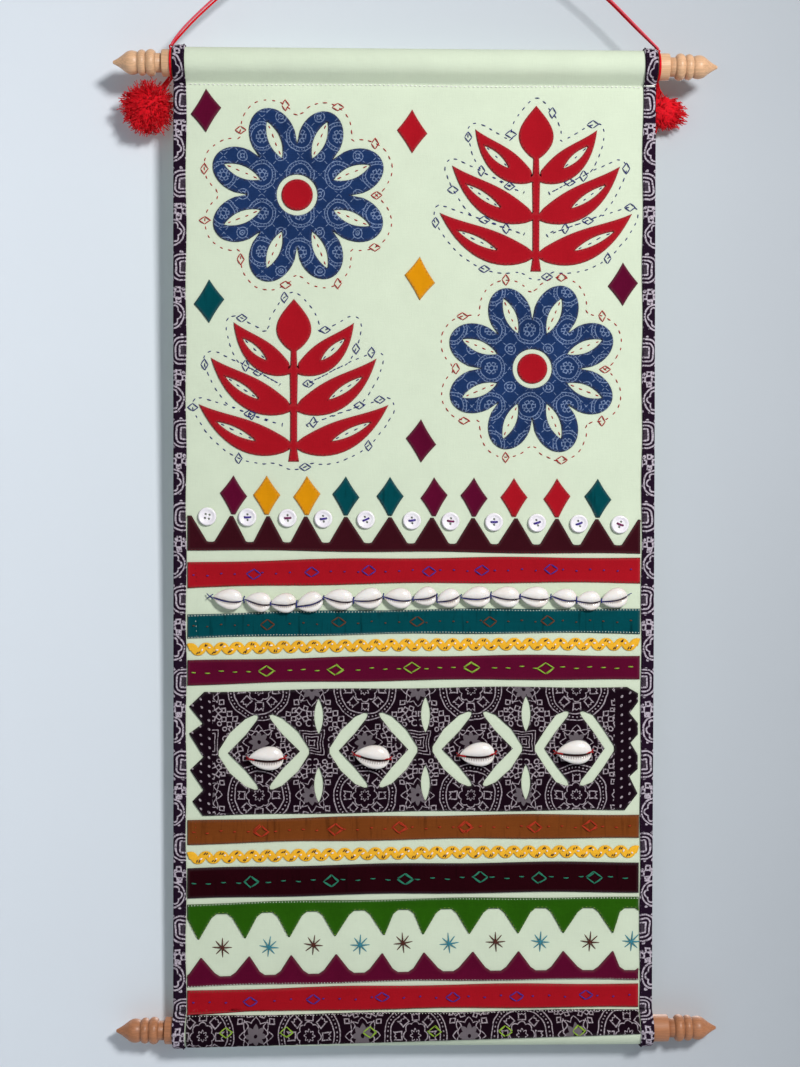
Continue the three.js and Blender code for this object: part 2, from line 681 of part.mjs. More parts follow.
const BANDS = [
  { name: 'red_band', top: 309.3, bottom: 325.4, colour: 'red' },
  { name: 'teal_band', top: 341.8, bottom: 357.2, colour: 'teal' },
  { name: 'plum_band', top: 371.1, bottom: 386.5, colour: 'plum' },
  { name: 'brown_band', top: 471.9, bottom: 487, colour: 'brown' },
  { name: 'dark_band', top: 502.1, bottom: 521.3, colour: 'dark' },
  { name: 'lower_red_band', top: 579.3, bottom: 594.4, colour: 'red' },
];
for (const { name, top, bottom, colour } of BANDS) {
  add(name, geometryOf(patch(bandOutline(top, bottom))), colour);
}

/** A zigzag braid whose edges swing together about a line. */
function rickrack(drop) {
  const { swing, width, period } = { swing: 1.9, width: 4.4, period: 9.7 };
  const count = Math.floor(2 * (BAND_HALF - 1) / (period / 2));
  const edge = (side) => Array.from({ length: count + 1 }, (_, i) => (
    below((i - count / 2) * period / 2, drop + side * width / 2 + (i % 2 ? swing : -swing))
  ));
  return patch([...edge(1), ...edge(-1).reverse()]);
}

add('rickrack_upper', geometryOf(rickrack(364.1)), 'yellow');
add('rickrack_lower', geometryOf(rickrack(495.5)), 'yellow');

// ---------------------------------------------------------------- block-printed panel with cut-outs

const PANEL = { top: 391.2, bottom: 469.4 };
const PANEL_COWRIES = [
  { x: -92.9, drop: 433.2 }, { x: -26.5, drop: 433.4 }, { x: 39.4, drop: 432.8 }, { x: 100.5, drop: 431.7 },
];
// Pairs of chevrons round the cowries: reach is half the width of a pair.
const CHEVRON_PAIRS = [
  { x: -94.5, reach: 28.5 }, { x: -25.5, reach: 27.7 }, { x: 40, reach: 28.3 }, { x: 101.4, reach: 25 },
];
const CHEVRON = { drop: 430.1, inner: 4.2, rise: 22.6, width: 5.8 };
const SLITS = { upper: 408.2, lower: 451.4, length: 22.4, width: 5.6 };
// The panel's ends run in and out between these points, from the top corner down; reach is its half length.
const LEFT_END = [
  { reach: 132, drop: 391 }, { reach: BAND_HALF, drop: 400 }, { reach: 133, drop: 411 },
  { reach: BAND_HALF, drop: 417 }, { reach: 132.6, drop: 432 }, { reach: 141, drop: 440 },
  { reach: 132.6, drop: 452.8 }, { reach: 139.5, drop: 459.8 }, { reach: 133, drop: 469.2 },
];
const RIGHT_END = [
  { reach: 134.5, drop: 391 }, { reach: BAND_HALF, drop: 395 }, { reach: BAND_HALF, drop: 400.4 },
  { reach: 136.4, drop: 407.6 }, { reach: BAND_HALF, drop: 414 }, { reach: BAND_HALF, drop: 421 },
  { reach: 137, drop: 426.5 }, { reach: BAND_HALF, drop: 434 }, { reach: BAND_HALF, drop: 443 },
  { reach: 136.4, drop: 447.9 }, { reach: BAND_HALF, drop: 458.5 }, { reach: 133.5, drop: 469.2 },
];

/** One chevron with tapering arms cut beside a cowrie: sign -1 opens to the right, 1 to the left. */
function chevron({ x, reach }, sign) {
  const { drop, inner, rise, width } = CHEVRON;
  const at = (a, b) => below(x + sign * a, drop - b);
  const arm = (up) => [
    at(reach - 7, up * 12.5), at(inner + 7.4, up * (rise - 1.4)), at(inner + 1.6, up * (rise + 1)),
    at(inner - 0.6, up * rise), at(inner + 0.3, up * (rise - 2.4)), at(inner + 7.3, up * 11.2),
  ];
  return [at(reach, -1.5), at(reach, 1.5), ...arm(1), at(reach - width, 0), ...arm(-1).reverse()];
}

/** The panel's outline with its notched ends. */
function panelOutline() {
  const between = ([x]) => Math.abs(x) < 125;
  const end = (rows, side) => rows.map(({ reach, drop }) => below(side * reach, drop));
  const bottom = bandEdge(PANEL.bottom).filter(between);
  const top = bandEdge(PANEL.top).filter(between).reverse();
  return [...bottom, ...end(RIGHT_END, 1).reverse(), ...top, ...end(LEFT_END, -1)];
}

const panelHoles = CHEVRON_PAIRS.flatMap((pair) => [chevron(pair, -1), chevron(pair, 1)]);
for (let i = 0; i + 1 < CHEVRON_PAIRS.length; i += 1) {
  const x = (CHEVRON_PAIRS[i].x + CHEVRON_PAIRS[i + 1].x) / 2;
  panelHoles.push(lens(below(x, SLITS.upper), SLITS.length, SLITS.width, Math.PI / 2));
  panelHoles.push(lens(below(x, SLITS.lower), SLITS.length, SLITS.width, Math.PI / 2));
}
add('block_panel', geometryOf(patch(panelOutline(), panelHoles)), 'blockPrint');

// ---------------------------------------------------------------- cowries

/** A cowrie lying on its mouth side, long across the hanging, pointed towards one end. */
function cowrie(length, width, height, around, along) {
  const shell = unitBall(around, along);
  shell.rotateZ(Math.PI / 2);
  const place = shell.attributes.position;
  for (let i = 0; i < place.count; i += 1) {
    const [x, y, z] = [place.getX(i), place.getY(i), place.getZ(i)];
    const narrow = 1 - 0.18 * x;
    place.setXYZ(i, x * length / 2, y * height / 2, z * width / 2 * narrow);
  }
  return shell;
}

PANEL_COWRIES.forEach(({ x, drop }, i) => {
  const height = 8;
  const [, z] = below(x, drop);
  const y = clothFront(x, z) - (PATCH_FAR - CLOTH_FRONT) - GAP - height / 2;
  add(`panel_cowrie_${i + 1}`, cowrie(22, 15, height, 10, 7), 'shell', 'shell').position.set(x, y, z);
});

// Shells on the navy thread: drop is below the row's line, turn in degrees.
const STRING_DROP = 334.2;
const STRING = [
  { x: -116.9, drop: -1.4, turn: -6 }, { x: -98, drop: 0.8, turn: -10 }, { x: -82.2, drop: 2, turn: 3 },
  { x: -65.8, drop: 2, turn: 17 }, { x: -47.6, drop: 0.2, turn: -7 }, { x: -29.3, drop: 0.2, turn: 8 },
  { x: -10.4, drop: 0.1, turn: -5 }, { x: 6.6, drop: -0.6, turn: 14 }, { x: 21.1, drop: 0.8, turn: 16 },
  { x: 38.7, drop: -0.2, turn: 4 }, { x: 57, drop: -0.2, turn: -5 }, { x: 75.3, drop: -0.1, turn: -4 },
  { x: 94.2, drop: 0.6, turn: -8 }, { x: 109.3, drop: 2.2, turn: 1 }, { x: 125.7, drop: 0.7, turn: 14 },
];
const STRING_SHELL = { length: 18, width: 12, height: 7 };
const THREAD_DIAMETER = 1;

/** The middle of one shell of the string. */
function stringPlace({ x, drop }) {
  const [, z] = below(x, STRING_DROP + drop);
  return new THREE.Vector3(x, clothFront(x, z) - GAP - STRING_SHELL.height / 2, z);
}

/** The string of cowries as one body: its shells joined by their thread. */
function cowrieString() {
  const { length, width, height } = STRING_SHELL;
  const shells = STRING.map((shell) => {
    const geometry = cowrie(length, width, height, 7, 4);
    geometry.rotateY(-THREE.MathUtils.degToRad(shell.turn));
    const place = stringPlace(shell);
    geometry.translate(place.x, place.y, place.z);
    return solidOf(geometry);
  });
  const middles = STRING.map(stringPlace);
  const thread = new THREE.ExtrudeGeometry(roundSection(THREAD_DIAMETER, 6), {
    steps: STRING.length - 1,
    extrudePath: new RouteCurve(middles, false, 'centripetal'),
  });
  return shells.reduce((whole, shell) => whole.add(shell), solidOf(thread));
}

add('cowrie_string', geometryOf(cowrieString()), 'shell', 'shell');

// ---------------------------------------------------------------- block-printed strip on the bottom pocket

// The strip's edges, above and below the bottom rod's centre; it ends lower at the left than at the right.
const STRIP = { top: 10.7, left: -9, right: -0.7 };

/** The strip sewn round the front of the bottom pocket. */
function bottomStrip() {
  const first = PANEL_START + PANEL_ROWS;
  const front = STATIONS.slice(first, first + POCKET_STEPS / 2 + 2);
  const corner = (side, rise) => [side * BAND_HALF, BOTTOM_ROD_Z + rise];
  const outline = [corner(-1, STRIP.left), corner(1, STRIP.right), corner(1, STRIP.top), corner(-1, STRIP.top)];
  return geometryOf(solidOf(clothLayer(front, PATCH_NEAR, PATCH_FAR)).intersect(prism(outline)));
}

add('bottom_strip', bottomStrip(), 'blockPrint');

export default group;
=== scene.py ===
"""The looks of an embroidered wall hanging on two turned rods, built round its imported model.

Lengths are in millimetres until a mesh is made; MM then turns them into metres. +Z is up, the front faces
-Y, and a "drop" is a distance below the top rod's centre on the hanging's middle line. Flat work is laid
out in two coordinates: x across, and the way down along the cloth.
"""

import logging
import math
import random
from dataclasses import dataclass, field, replace
from enum import Enum
from functools import cache
from typing import Callable, Sequence

import bmesh
import bpy
import numpy as np
from mathutils import Matrix, Vector
from mathutils.geometry import delaunay_2d_cdt


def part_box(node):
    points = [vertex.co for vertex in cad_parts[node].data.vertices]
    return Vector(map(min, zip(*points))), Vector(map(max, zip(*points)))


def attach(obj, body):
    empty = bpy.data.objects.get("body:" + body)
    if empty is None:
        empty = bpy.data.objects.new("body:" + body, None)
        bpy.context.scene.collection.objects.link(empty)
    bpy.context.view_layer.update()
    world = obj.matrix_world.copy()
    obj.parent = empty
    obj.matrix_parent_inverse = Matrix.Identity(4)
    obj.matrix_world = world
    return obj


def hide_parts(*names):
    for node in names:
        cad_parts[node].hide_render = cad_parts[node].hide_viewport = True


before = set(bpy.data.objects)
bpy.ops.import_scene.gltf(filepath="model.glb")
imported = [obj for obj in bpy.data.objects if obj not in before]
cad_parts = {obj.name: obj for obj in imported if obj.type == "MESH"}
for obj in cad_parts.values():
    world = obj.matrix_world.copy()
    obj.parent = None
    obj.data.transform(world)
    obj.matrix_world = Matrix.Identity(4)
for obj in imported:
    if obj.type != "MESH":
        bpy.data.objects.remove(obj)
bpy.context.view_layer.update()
LOG = logging.getLogger("hanging")

MM = 0.001
BODY = "root"
Shape = tuple[np.ndarray, list[list[int]]]      # points and faces
Pairs = tuple[tuple[float, float], ...]
Socket = bpy.types.NodeSocket
SURFACE = "cloth"           # the UV map that follows the cloth, in metres


def corners(node: str) -> tuple[np.ndarray, np.ndarray]:
    """The lowest and highest corner of a CAD node, in millimetres."""
    low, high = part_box(node)
    return np.array(low) / MM, np.array(high) / MM


def middle(node: str) -> np.ndarray:
    """The middle of a CAD node's box, in millimetres."""
    low, high = corners(node)
    return (low + high) / 2


TOP_ROD = middle("top_rod")
BOTTOM_ROD = middle("bottom_rod")
GAP = 0.3                               # between two layers
SHEET = 1.0                             # the cloth's thickness
NEAR = SHEET / 2 + GAP                  # a patch's underside, in front of the cloth's mid-line
CLOTH_HALF = 150.2                      # half the cloth's width
EDGE_HALF = CLOTH_HALF + GAP + SHEET    # half the width over the bindings
BAND_HALF = 142.6                       # half a band's length
TURN = 2 * math.pi


# ---------------------------------------------------------------- node trees


class Graph:
    """Adds nodes to one tree and links them as they are written."""

    def __init__(self, tree: bpy.types.NodeTree) -> None:
        """Args: tree: the shader or geometry tree to write in."""
        self.tree = tree

    def node(self, kind: str, inputs: dict | None = None, **settings: object) -> bpy.types.Node:
        """Adds one node.

        Args:
            kind: the node's type.
            inputs: values or sockets, by the input's name or number.
            settings: the node's own properties.

        Returns:
            The new node.
        """
        made = self.tree.nodes.new(kind)
        for name, value in settings.items():
            setattr(made, name, value)
        for key, value in (inputs or {}).items():
            self.feed(made.inputs[key], value)
        return made

    def feed(self, socket: Socket, value: object) -> None:
        """Links a number, a socket or a node's first output into an input, or sets the input's own value."""
        source = value.socket if isinstance(value, Num) else value
        source = source.outputs[0] if isinstance(source, bpy.types.Node) else source
        if isinstance(source, Socket):
            self.tree.links.new(source, socket)
        elif isinstance(source, tuple):
            socket.default_value = source[:len(socket.default_value)]
        else:
            socket.default_value = source

    def num(self, socket: Socket) -> "Num":
        """A socket that sums can be written with."""
        return Num(self, socket)

    def math(self, operation: str, *values: object) -> "Num":
        """One Math node over numbers or plain values."""
        node = self.node("ShaderNodeMath", dict(enumerate(values)), operation=operation)
        return Num(self, node.outputs[0])

    def combine(self, x: object, y: object, z: object = 0.0) -> Socket:
        """A vector from three numbers."""
        return self.node("ShaderNodeCombineXYZ", {0: x, 1: y, 2: z}).outputs[0]

    def mix(self, share: object, first: object, second: object) -> Socket:
        """A colour between two colours."""
        node = self.node("ShaderNodeMix", data_type="RGBA")
        for index, value in ((0, share), (6, first), (7, second)):
            self.feed(node.inputs[index], value)
        return node.outputs[2]

    def noise(self, x: object, y: object, z: object, detail: float = 2.0) -> "Num":
        """Soft noise from 0 to 1 over a place, one unit across."""
        place = self.combine(x, y, z)
        node = self.node("ShaderNodeTexNoise", {"Vector": place, "Scale": 1.0, "Detail": detail})
        return Num(self, node.outputs["Fac" if "Fac" in node.outputs else 0])

    def cloud(self, place: Sequence["Num"], pitch: float, detail: float = 2.0) -> "Num":
        """Soft noise that is alike in all directions; a small pitch makes it wide."""
        return self.noise(*(axis * pitch for axis in place), detail)

    def mark(self, name: str) -> "Num":
        """A number that the mesh keeps for each point."""
        return Num(self, self.node("ShaderNodeAttribute", attribute_name=name).outputs["Fac"])

    def scaled(self, vector: object, size: object) -> Socket:
        """A vector or a colour times a number."""
        return self.node("ShaderNodeVectorMath", {0: vector, "Scale": size}, operation="SCALE").outputs[0]


class Num:
    """A number flowing through a tree, with the usual operators."""

    def __init__(self, graph: Graph, socket: Socket) -> None:
        """Args: graph: the tree's writer. socket: where the number comes out."""
        self.graph = graph
        self.socket = socket

    def __add__(self, other: object) -> "Num":
        """Sum."""
        return self.graph.math("ADD", self, other)

    def __sub__(self, other: object) -> "Num":
        """Difference."""
        return self.graph.math("SUBTRACT", self, other)

    def __rsub__(self, other: object) -> "Num":
        """Difference, the other way round."""
        return self.graph.math("SUBTRACT", other, self)

    def __mul__(self, other: object) -> "Num":
        """Product."""
        return self.graph.math("MULTIPLY", self, other)

    def __truediv__(self, other: object) -> "Num":
        """Quotient."""
        return self.graph.math("DIVIDE", self, other)

    def __abs__(self) -> "Num":
        """Size without sign."""
        return self.graph.math("ABSOLUTE", self)

    __radd__ = __add__
    __rmul__ = __mul__

    def sin(self) -> "Num":
        """Sine."""
        return self.graph.math("SINE", self)

    def cos(self) -> "Num":
        """Cosine."""
        return self.graph.math("COSINE", self)

    def least(self, other: object) -> "Num":
        """The smaller of two."""
        return self.graph.math("MINIMUM", self, other)

    def most(self, other: object) -> "Num":
        """The larger of two."""
        return self.graph.math("MAXIMUM", self, other)

    def within(self, size: float) -> "Num":
        """The number folded into one repeat of that size, from minus half to plus half."""
        wrapped = self.graph.math("FLOORED_MODULO", self + size / 2, size)
        return wrapped - size / 2

    def clamp(self) -> "Num":
        """The number kept from 0 to 1."""
        return self.most(0.0).least(1.0)


def length(x: Num, y: Num) -> Num:
    """How far a point is from the origin."""
    return x.graph.math("SQRT", x * x + y * y)


def angle(x: Num, y: Num) -> Num:
    """The direction of a point, in radians."""
    return x.graph.math("ARCTAN2", y, x)


def nearest(*distances: Num) -> Num:
    """How far the nearest of several lines is."""
    best = abs(distances[0])
    for distance in distances[1:]:
        best = best.least(abs(distance))
    return best


def filled(distance: Num, soft: float = 0.12) -> Num:
    """1 inside a figure, where its distance is below 0."""
    return ((soft - distance) / (2 * soft)).clamp()


# ---------------------------------------------------------------- finishes

Colour = tuple[float, float, float]
MATERIALS: dict[str, bpy.types.Material] = {}


def shade(colour: Colour, factor: float = 1.0) -> tuple[float, float, float, float]:
    """A colour for a socket, made lighter or darker by a factor."""
    return (*(min(1.0, channel * factor) for channel in colour), 1.0)


@dataclass(frozen=True)
class Finish:
    """A named surface finish.

    Attributes:
        name: the material's name.
        colour: its main colour, linear.
    """

    name: str
    colour: Colour

    def material(self) -> bpy.types.Material:
        """The material, made once."""
        if self.name in MATERIALS:
            return MATERIALS[self.name]
        made = MATERIALS[self.name] = bpy.data.materials.new(f"{self.name}_finish")
        made.use_nodes = True
        made.diffuse_color = shade(self.colour)
        graph = Graph(made.node_tree)
        self.write(graph, made.node_tree.nodes["Principled BSDF"])
        return made

    def write(self, graph: Graph, shader: bpy.types.Node) -> None:
        """Writes the finish's nodes; every kind of finish has its own."""
        raise NotImplementedError

    @staticmethod
    def surface(graph: Graph) -> tuple[Num, Num]:
        """The cloth's own coordinates in millimetres: across, and down along it."""
        place = graph.node("ShaderNodeUVMap", uv_map=SURFACE).outputs[0]
        parts = graph.node("ShaderNodeSeparateXYZ", {0: place}).outputs
        return graph.num(parts[0]) * (1 / MM), graph.num(parts[1]) * (1 / MM)

    @staticmethod
    def room(graph: Graph) -> tuple[Num, Num, Num]:
        """The object's coordinates in millimetres."""
        place = graph.node("ShaderNodeTexCoord").outputs["Object"]
        parts = graph.node("ShaderNodeSeparateXYZ", {0: place}).outputs
        return tuple(graph.num(part) * (1 / MM) for part in parts)

    @staticmethod
    def settle(shader: bpy.types.Node, values: dict[str, object]) -> None:
        """Sets the shader's plain inputs, by name."""
        for name, value in values.items():
            shader.inputs[name].default_value = value

    @staticmethod
    def bump(graph: Graph, shader: bpy.types.Node, height: Num, depth: float) -> None:
        """Raises the surface by a height from 0 to 1, depth in millimetres."""
        node = graph.node("ShaderNodeBump", {"Height": height, "Distance": depth * MM, "Strength": 1.0})
        graph.feed(shader.inputs["Normal"], node.outputs[0])


@dataclass(frozen=True)
class Cotton(Finish):
    """Dyed plain-woven cotton.

    Attributes:
        mottle: how much the dye varies.
        pucker_shade: how much painted shade darkens it in fine upright streaks, where small puckers would be
            shaded.
        pitch: the distance between its threads.
        rough: its roughness.
    """

    mottle: float = 0.12
    pucker_shade: float = 0.0
    pitch: float = 0.46
    rough: float = 0.9

    def dye(self, graph: Graph, x: Num, y: Num) -> Socket | tuple:
        """The colour before wear; a print replaces it."""
        return shade(self.colour)

    def write(self, graph: Graph, shader: bpy.types.Node) -> None:
        """Dye, uneven colour, painted shade in upright pucker streaks where asked, thread texture and a worn,
        paler turned edge.
        """
        x, y = self.surface(graph)
        cloud = graph.noise(x * 0.05, y * 0.05, 3.0, 4.0)
        slub_x = graph.noise(x * 0.12, y * 2.1, 1.0, 1.0)
        slub_y = graph.noise(x * 2.1, y * 0.12, 5.0, 1.0)
        thread = (slub_x + slub_y - 1.0) * self.mottle * 0.9
        light = (cloud - 0.5) * self.mottle * 1.6 + thread + 1.0
        if self.pucker_shade:
            # Painted shade: dark upright streaks stand in for the shade in small puckers.
            pucker = graph.noise(x * 0.34, y * 0.035, 9.0)
            light = light - ((pucker - 0.56) * 6.0).clamp() * self.pucker_shade
        tinted = graph.scaled(self.dye(graph, x, y), light)
        worn = graph.mix(graph.mark("rim") * 0.05, tinted, shade((0.75, 0.7, 0.66)))
        graph.feed(shader.inputs["Base Color"], worn)
        self.settle(shader, {"Roughness": self.rough, "Specular IOR Level": 0.03})
        turn = math.pi / self.pitch
        warp = abs((x * turn).sin()) * abs((y * turn).cos())
        weft = abs((x * turn).cos()) * abs((y * turn).sin())
        height = warp.most(weft) * 0.5 + (slub_x + slub_y) * 0.5
        self.bump(graph, shader, height, 0.09)


class PrintKind(Enum):
    """Which part of a block-printed cloth is used."""

    FIELD = "field"
    BORDER = "border"
    FINE = "fine"


@dataclass(frozen=True)
class BlockPrint(Cotton):
    """Cotton printed from carved blocks with pale resist lines on a deep ground.

    Every part of the print gives two distances: to its nearest line, and to the figures that are filled.

    Attributes:
        ink: the colour of the lines.
        kind: the part of the print.
        repeat: the size of one block.
        line: how wide its lines are.
        origin: the middle of one block, as x and the way down the cloth.
        edge: how far from the middle line the dotted edge of the cloth begins.
    """

    ink: Colour = (0.43, 0.37, 0.41)
    kind: PrintKind = PrintKind.FIELD
    repeat: float = 66.7
    line: float = 0.66
    origin: tuple[float, float] = (0.0, 0.0)
    edge: float = 900.0

    def dye(self, graph: Graph, x: Num, y: Num) -> Socket:
        """The printed colour, its lines a little uneven."""
        drift_x = graph.noise(x * 0.11, y * 0.11, 11.0, 1.0) - 0.5
        drift_y = graph.noise(x * 0.11, y * 0.11, 23.0, 1.0) - 0.5
        parts = {PrintKind.FIELD: self.field, PrintKind.BORDER: self.border, PrintKind.FINE: self.fine}
        place = (x + drift_x * 2.4 - self.origin[0], y + drift_y * 2.4 - self.origin[1])
        lines, figures = parts[self.kind](*place)
        take = graph.noise(x * 0.9, y * 0.9, 2.0)
        printed = filled(lines - self.line / 2) * ((take - 0.26) * 3.4).clamp()
        ground = graph.mix(filled(figures) * 0.42, shade(self.colour), shade(self.ink, 0.75))
        return graph.mix(printed, ground, shade(self.ink))

    @staticmethod
    def medallion(x: Num, y: Num) -> Num:
        """Two rings with a row of dots between them, eight tulips, a scalloped ring and a small flower."""
        r, turn = length(x, y), angle(x, y)
        bead = (length(r - 17.5, turn.within(TURN / 48) * 17.5) - 0.12).most(0.0)
        local = turn.within(TURN / 8)
        out, side = r * local.cos(), abs(r * local.sin())
        tulip = (side - 2.2).most(8.6 - out).most(out - 12.2 - abs(side - 1.1) * 0.9)
        scallop = r - 6.3 - abs((turn * 4.0).cos()) * 1.4
        return nearest(r - 19.4, r - 15.5, bead, tulip, scallop, r - 2.7 - (turn * 8.0).cos() * 0.6)

    @staticmethod
    def star(x: Num, y: Num) -> tuple[Num, Num]:
        """A zigzag line round an eight-pointed star, and the star itself with its small hole."""
        r = length(x, y)
        tooth = abs(angle(x, y).within(TURN / 8)) * (8 / math.pi)
        return r + tooth * 3.2 - 10.6, (r + tooth * 2.6 - 6.9).most(1.2 - r)

    @staticmethod
    def flower(x: Num, y: Num, petals: int = 5, size: float = 1.0) -> Num:
        """A ring of small square petals."""
        r, local = length(x, y), angle(x, y).within(TURN / petals)
        return abs(r * local.cos() - 2.9 * size).most(abs(r * local.sin())) - 1.15 * size

    @staticmethod
    def dots(x: Num, y: Num) -> Num:
        """Small solid dots strewn in rows."""
        return (length(x.within(5.2), (y + abs(x) * 0.4).within(5.8)) - 0.45).most(0.0)

    def field(self, x: Num, y: Num) -> tuple[Num, Num]:
        """Medallions with stars, quatrefoils, flowers and curls between them; dots at the cloth's edge."""
        half = self.repeat / 2
        a, b = x.within(self.repeat), y.within(self.repeat)
        far_a, far_b = (x + half).within(self.repeat), (y + half).within(self.repeat)
        star, star_fill = self.star(far_a, b)
        other, other_fill = self.star(a, far_b)
        tip = abs(angle(far_a, far_b).within(TURN / 4)) * (4 / math.pi)
        leafy = length(far_a, far_b) / (tip * tip * 0.4 + 0.72)
        nested = abs((leafy - 9.6).within(2.5)).most(leafy - 10.0)
        # An eighth of the repeat is drawn, and mirrored into the other seven.
        c, d = abs(a).most(abs(b)), abs(a).least(abs(b))
        blooms = nearest(self.flower(c - 18.6, d - 18.6, 4, 1.2), self.flower(c - 28.0, d - 15.2, 5, 1.15))
        bud = nearest(abs(c - 23.4).most(abs(d - 8.2)) - 1.4, abs(c - 22.2).most(abs(d - 13.0)) - 1.1)
        hook, eye = length(c - 31.4, d - 21.0) - 1.9, length(c - 25.0, d - 21.6) - 1.3
        curl = nearest(abs(hook).most(c - 32.2), abs(eye))
        stem = abs(c - 27.4 + (d * 0.9).sin() * 1.2).most(d - 8.4)
        lines = nearest(self.medallion(a, b), star, other, nested, blooms, bud, curl, stem)
        beyond = abs(x + self.origin[0]) - self.edge
        ends = nearest(self.dots(x, y)).most(0.0 - beyond)
        return lines.most(beyond).least(ends), star_fill.least(other_fill).most(beyond)

    def border(self, x: Num, y: Num) -> tuple[Num, Num]:
        """The narrow border: nested arches, scalloped half medallions and sparse ringed dots."""
        b, arch_b = y.within(self.repeat), (y - self.repeat * 0.42).within(self.repeat)
        r, turn = length(x - 9.4, b), angle(x - 9.4, b)
        box = length((abs(x - 0.6) - 2.6).most(0.0), (abs(arch_b) - 2.8).most(0.0))
        arches = abs((box - 5.4).within(2.4)).most(box - 5.8)
        bloom = self.flower(x - 4.6, (y + self.repeat * 0.25).within(self.repeat), 4, 1.15)
        wheel = nearest(r - 8.2, r - 4.9 - abs((turn * 3.0).cos()) * 1.5)
        dot = abs(length((x + arch_b * 0.3).within(5.4), y.within(5.8)) - 0.6)
        return nearest(wheel, arches, bloom, dot.most(9.8 - r).most(7.0 - box).most(-1.6 - bloom)), r + 9.0

    def fine(self, x: Num, y: Num) -> tuple[Num, Num]:
        """Fine lattice lines, dotted rings and small flowers."""
        half = self.repeat / 2
        a, b = x.within(self.repeat), y.within(self.repeat)
        far = length((x + half).within(self.repeat), (y + half).within(self.repeat))
        r = length(a, b)
        bead = length(r - 7.8, angle(a, b).within(TURN / 26) * 7.8)
        slants = nearest((x + y).within(half), (x - y).within(half))
        lattice = slants.most(9.4 - r).most((y * 2.4).sin() * 0.8)
        rings = nearest(r - 8.8, r - 6.9, bead, self.flower(a, b, 6, 0.9), far - 3.2, far - 1.4)
        return rings.least(lattice), r + 9.0


@dataclass(frozen=True)
class Wood(Finish):
    """Turned, lightly polished pale wood with its grain along X."""

    def write(self, graph: Graph, shader: bpy.types.Node) -> None:
        """Long grain, pores, darker cut rings and a thin polish."""
        x, y, z = self.room(graph)
        grain = graph.noise(x * 0.035, y * 0.5, z * 0.5, 4.0)
        pores = graph.noise(x * 0.25, y * 4.0, z * 4.0)
        blotch = graph.cloud((x, y, z), 0.06)
        ring = (grain * 26.0).sin() * 0.5 + 0.5
        share = (ring * 0.4 + blotch * 0.6).clamp()
        light = graph.mix(share, shade(self.colour, 0.72), shade(self.colour, 1.18))
        pore = ((pores - 0.6) * 5.0).clamp() * 0.45
        dark = graph.mix(pore.most(graph.mark("groove") * 0.75), light, shade(self.colour, 0.36))
        graph.feed(shader.inputs["Base Color"], dark)
        graph.feed(shader.inputs["Roughness"], 0.36 + pores * 0.22)
        self.settle(shader, {"Coat Weight": 0.12, "Coat Roughness": 0.25})
        self.bump(graph, shader, pores * 0.6 + ring * 0.4, 0.05)


@dataclass(frozen=True)
class Yarn(Finish):
    """Spun thread or yarn.

    Attributes:
        fuzz: how soft and hairy it is, from 0 to 1.
        vary: how much one strand differs from the next.
    """

    fuzz: float = 0.4
    vary: float = 0.25

    def write(self, graph: Graph, shader: bpy.types.Node) -> None:
        """Uneven dye, fine fibres and a soft sheen."""
        place = self.room(graph)
        fine, coarse = graph.cloud(place, 5.0), graph.cloud(place, 0.8)
        light = (coarse - 0.5) * self.vary * 2.4 + (fine - 0.5) * self.vary + 1.0
        graph.feed(shader.inputs["Base Color"], graph.scaled(shade(self.colour), light))
        self.settle(shader, {
            "Roughness": 0.75, "Specular IOR Level": 0.15, "Sheen Weight": self.fuzz * 0.12,
            "Sheen Roughness": 0.4,
        })
        self.bump(graph, shader, fine, 0.08)


@dataclass(frozen=True)
class Shell(Finish):
    """A cowrie's glaze: glossy cream, with dark, purplish painted shade in its mouth and between its teeth,
    and a painted shadow beside the slit.
    """

    # The colour of the painted shade in the mouth.
    mouth: Colour = (0.055, 0.018, 0.02)

    def write(self, graph: Graph, shader: bpy.types.Node) -> None:
        """Cream clouds, the painted shade and shadow in and beside the mouth, and the glaze."""
        place = self.room(graph)
        cloud, speck = graph.cloud(place, 0.12, 3.0), graph.cloud(place, 1.4)
        base = graph.mix(((cloud - 0.45) * 3.0).clamp() * 0.55, shade(self.colour), shade((0.84, 0.72, 0.62)))
        # Painted shade: the mouth mark darkens the slit, the gaps between the teeth and a painted shadow
        # beside them.
        inner = graph.mix(graph.mark("mouth"), base, shade(self.mouth))
        faint = graph.mix(((speck - 0.66) * 4.0).clamp() * 0.3, inner, shade((0.55, 0.42, 0.36)))
        graph.feed(shader.inputs["Base Color"], faint)
        self.settle(shader, {
            "Roughness": 0.2, "Specular IOR Level": 0.55, "Coat Weight": 0.5, "Coat Roughness": 0.08,
            "Subsurface Weight": 0.08, "Subsurface Radius": (0.002, 0.0015, 0.001),
        })
        self.bump(graph, shader, cloud * 0.7 + speck * 0.3, 0.06)


@dataclass(frozen=True)
class Pearl(Finish):
    """The pearly white of a shirt button or a pearl speck."""

    lilac: Colour = (0.86, 0.78, 0.90)

    def write(self, graph: Graph, shader: bpy.types.Node) -> None:
        """Cloudy bands of white and lilac under a shine."""
        cloud = graph.cloud(self.room(graph), 0.22, 3.0)
        band = ((cloud * 14.0).sin() * 0.5 + 0.5).clamp()
        graph.feed(shader.inputs["Base Color"], graph.mix(band * 0.5, shade(self.colour), shade(self.lilac)))
        self.settle(shader, {"Roughness": 0.24, "Coat Weight": 0.4, "Coat Roughness": 0.1})
        self.bump(graph, shader, cloud, 0.04)


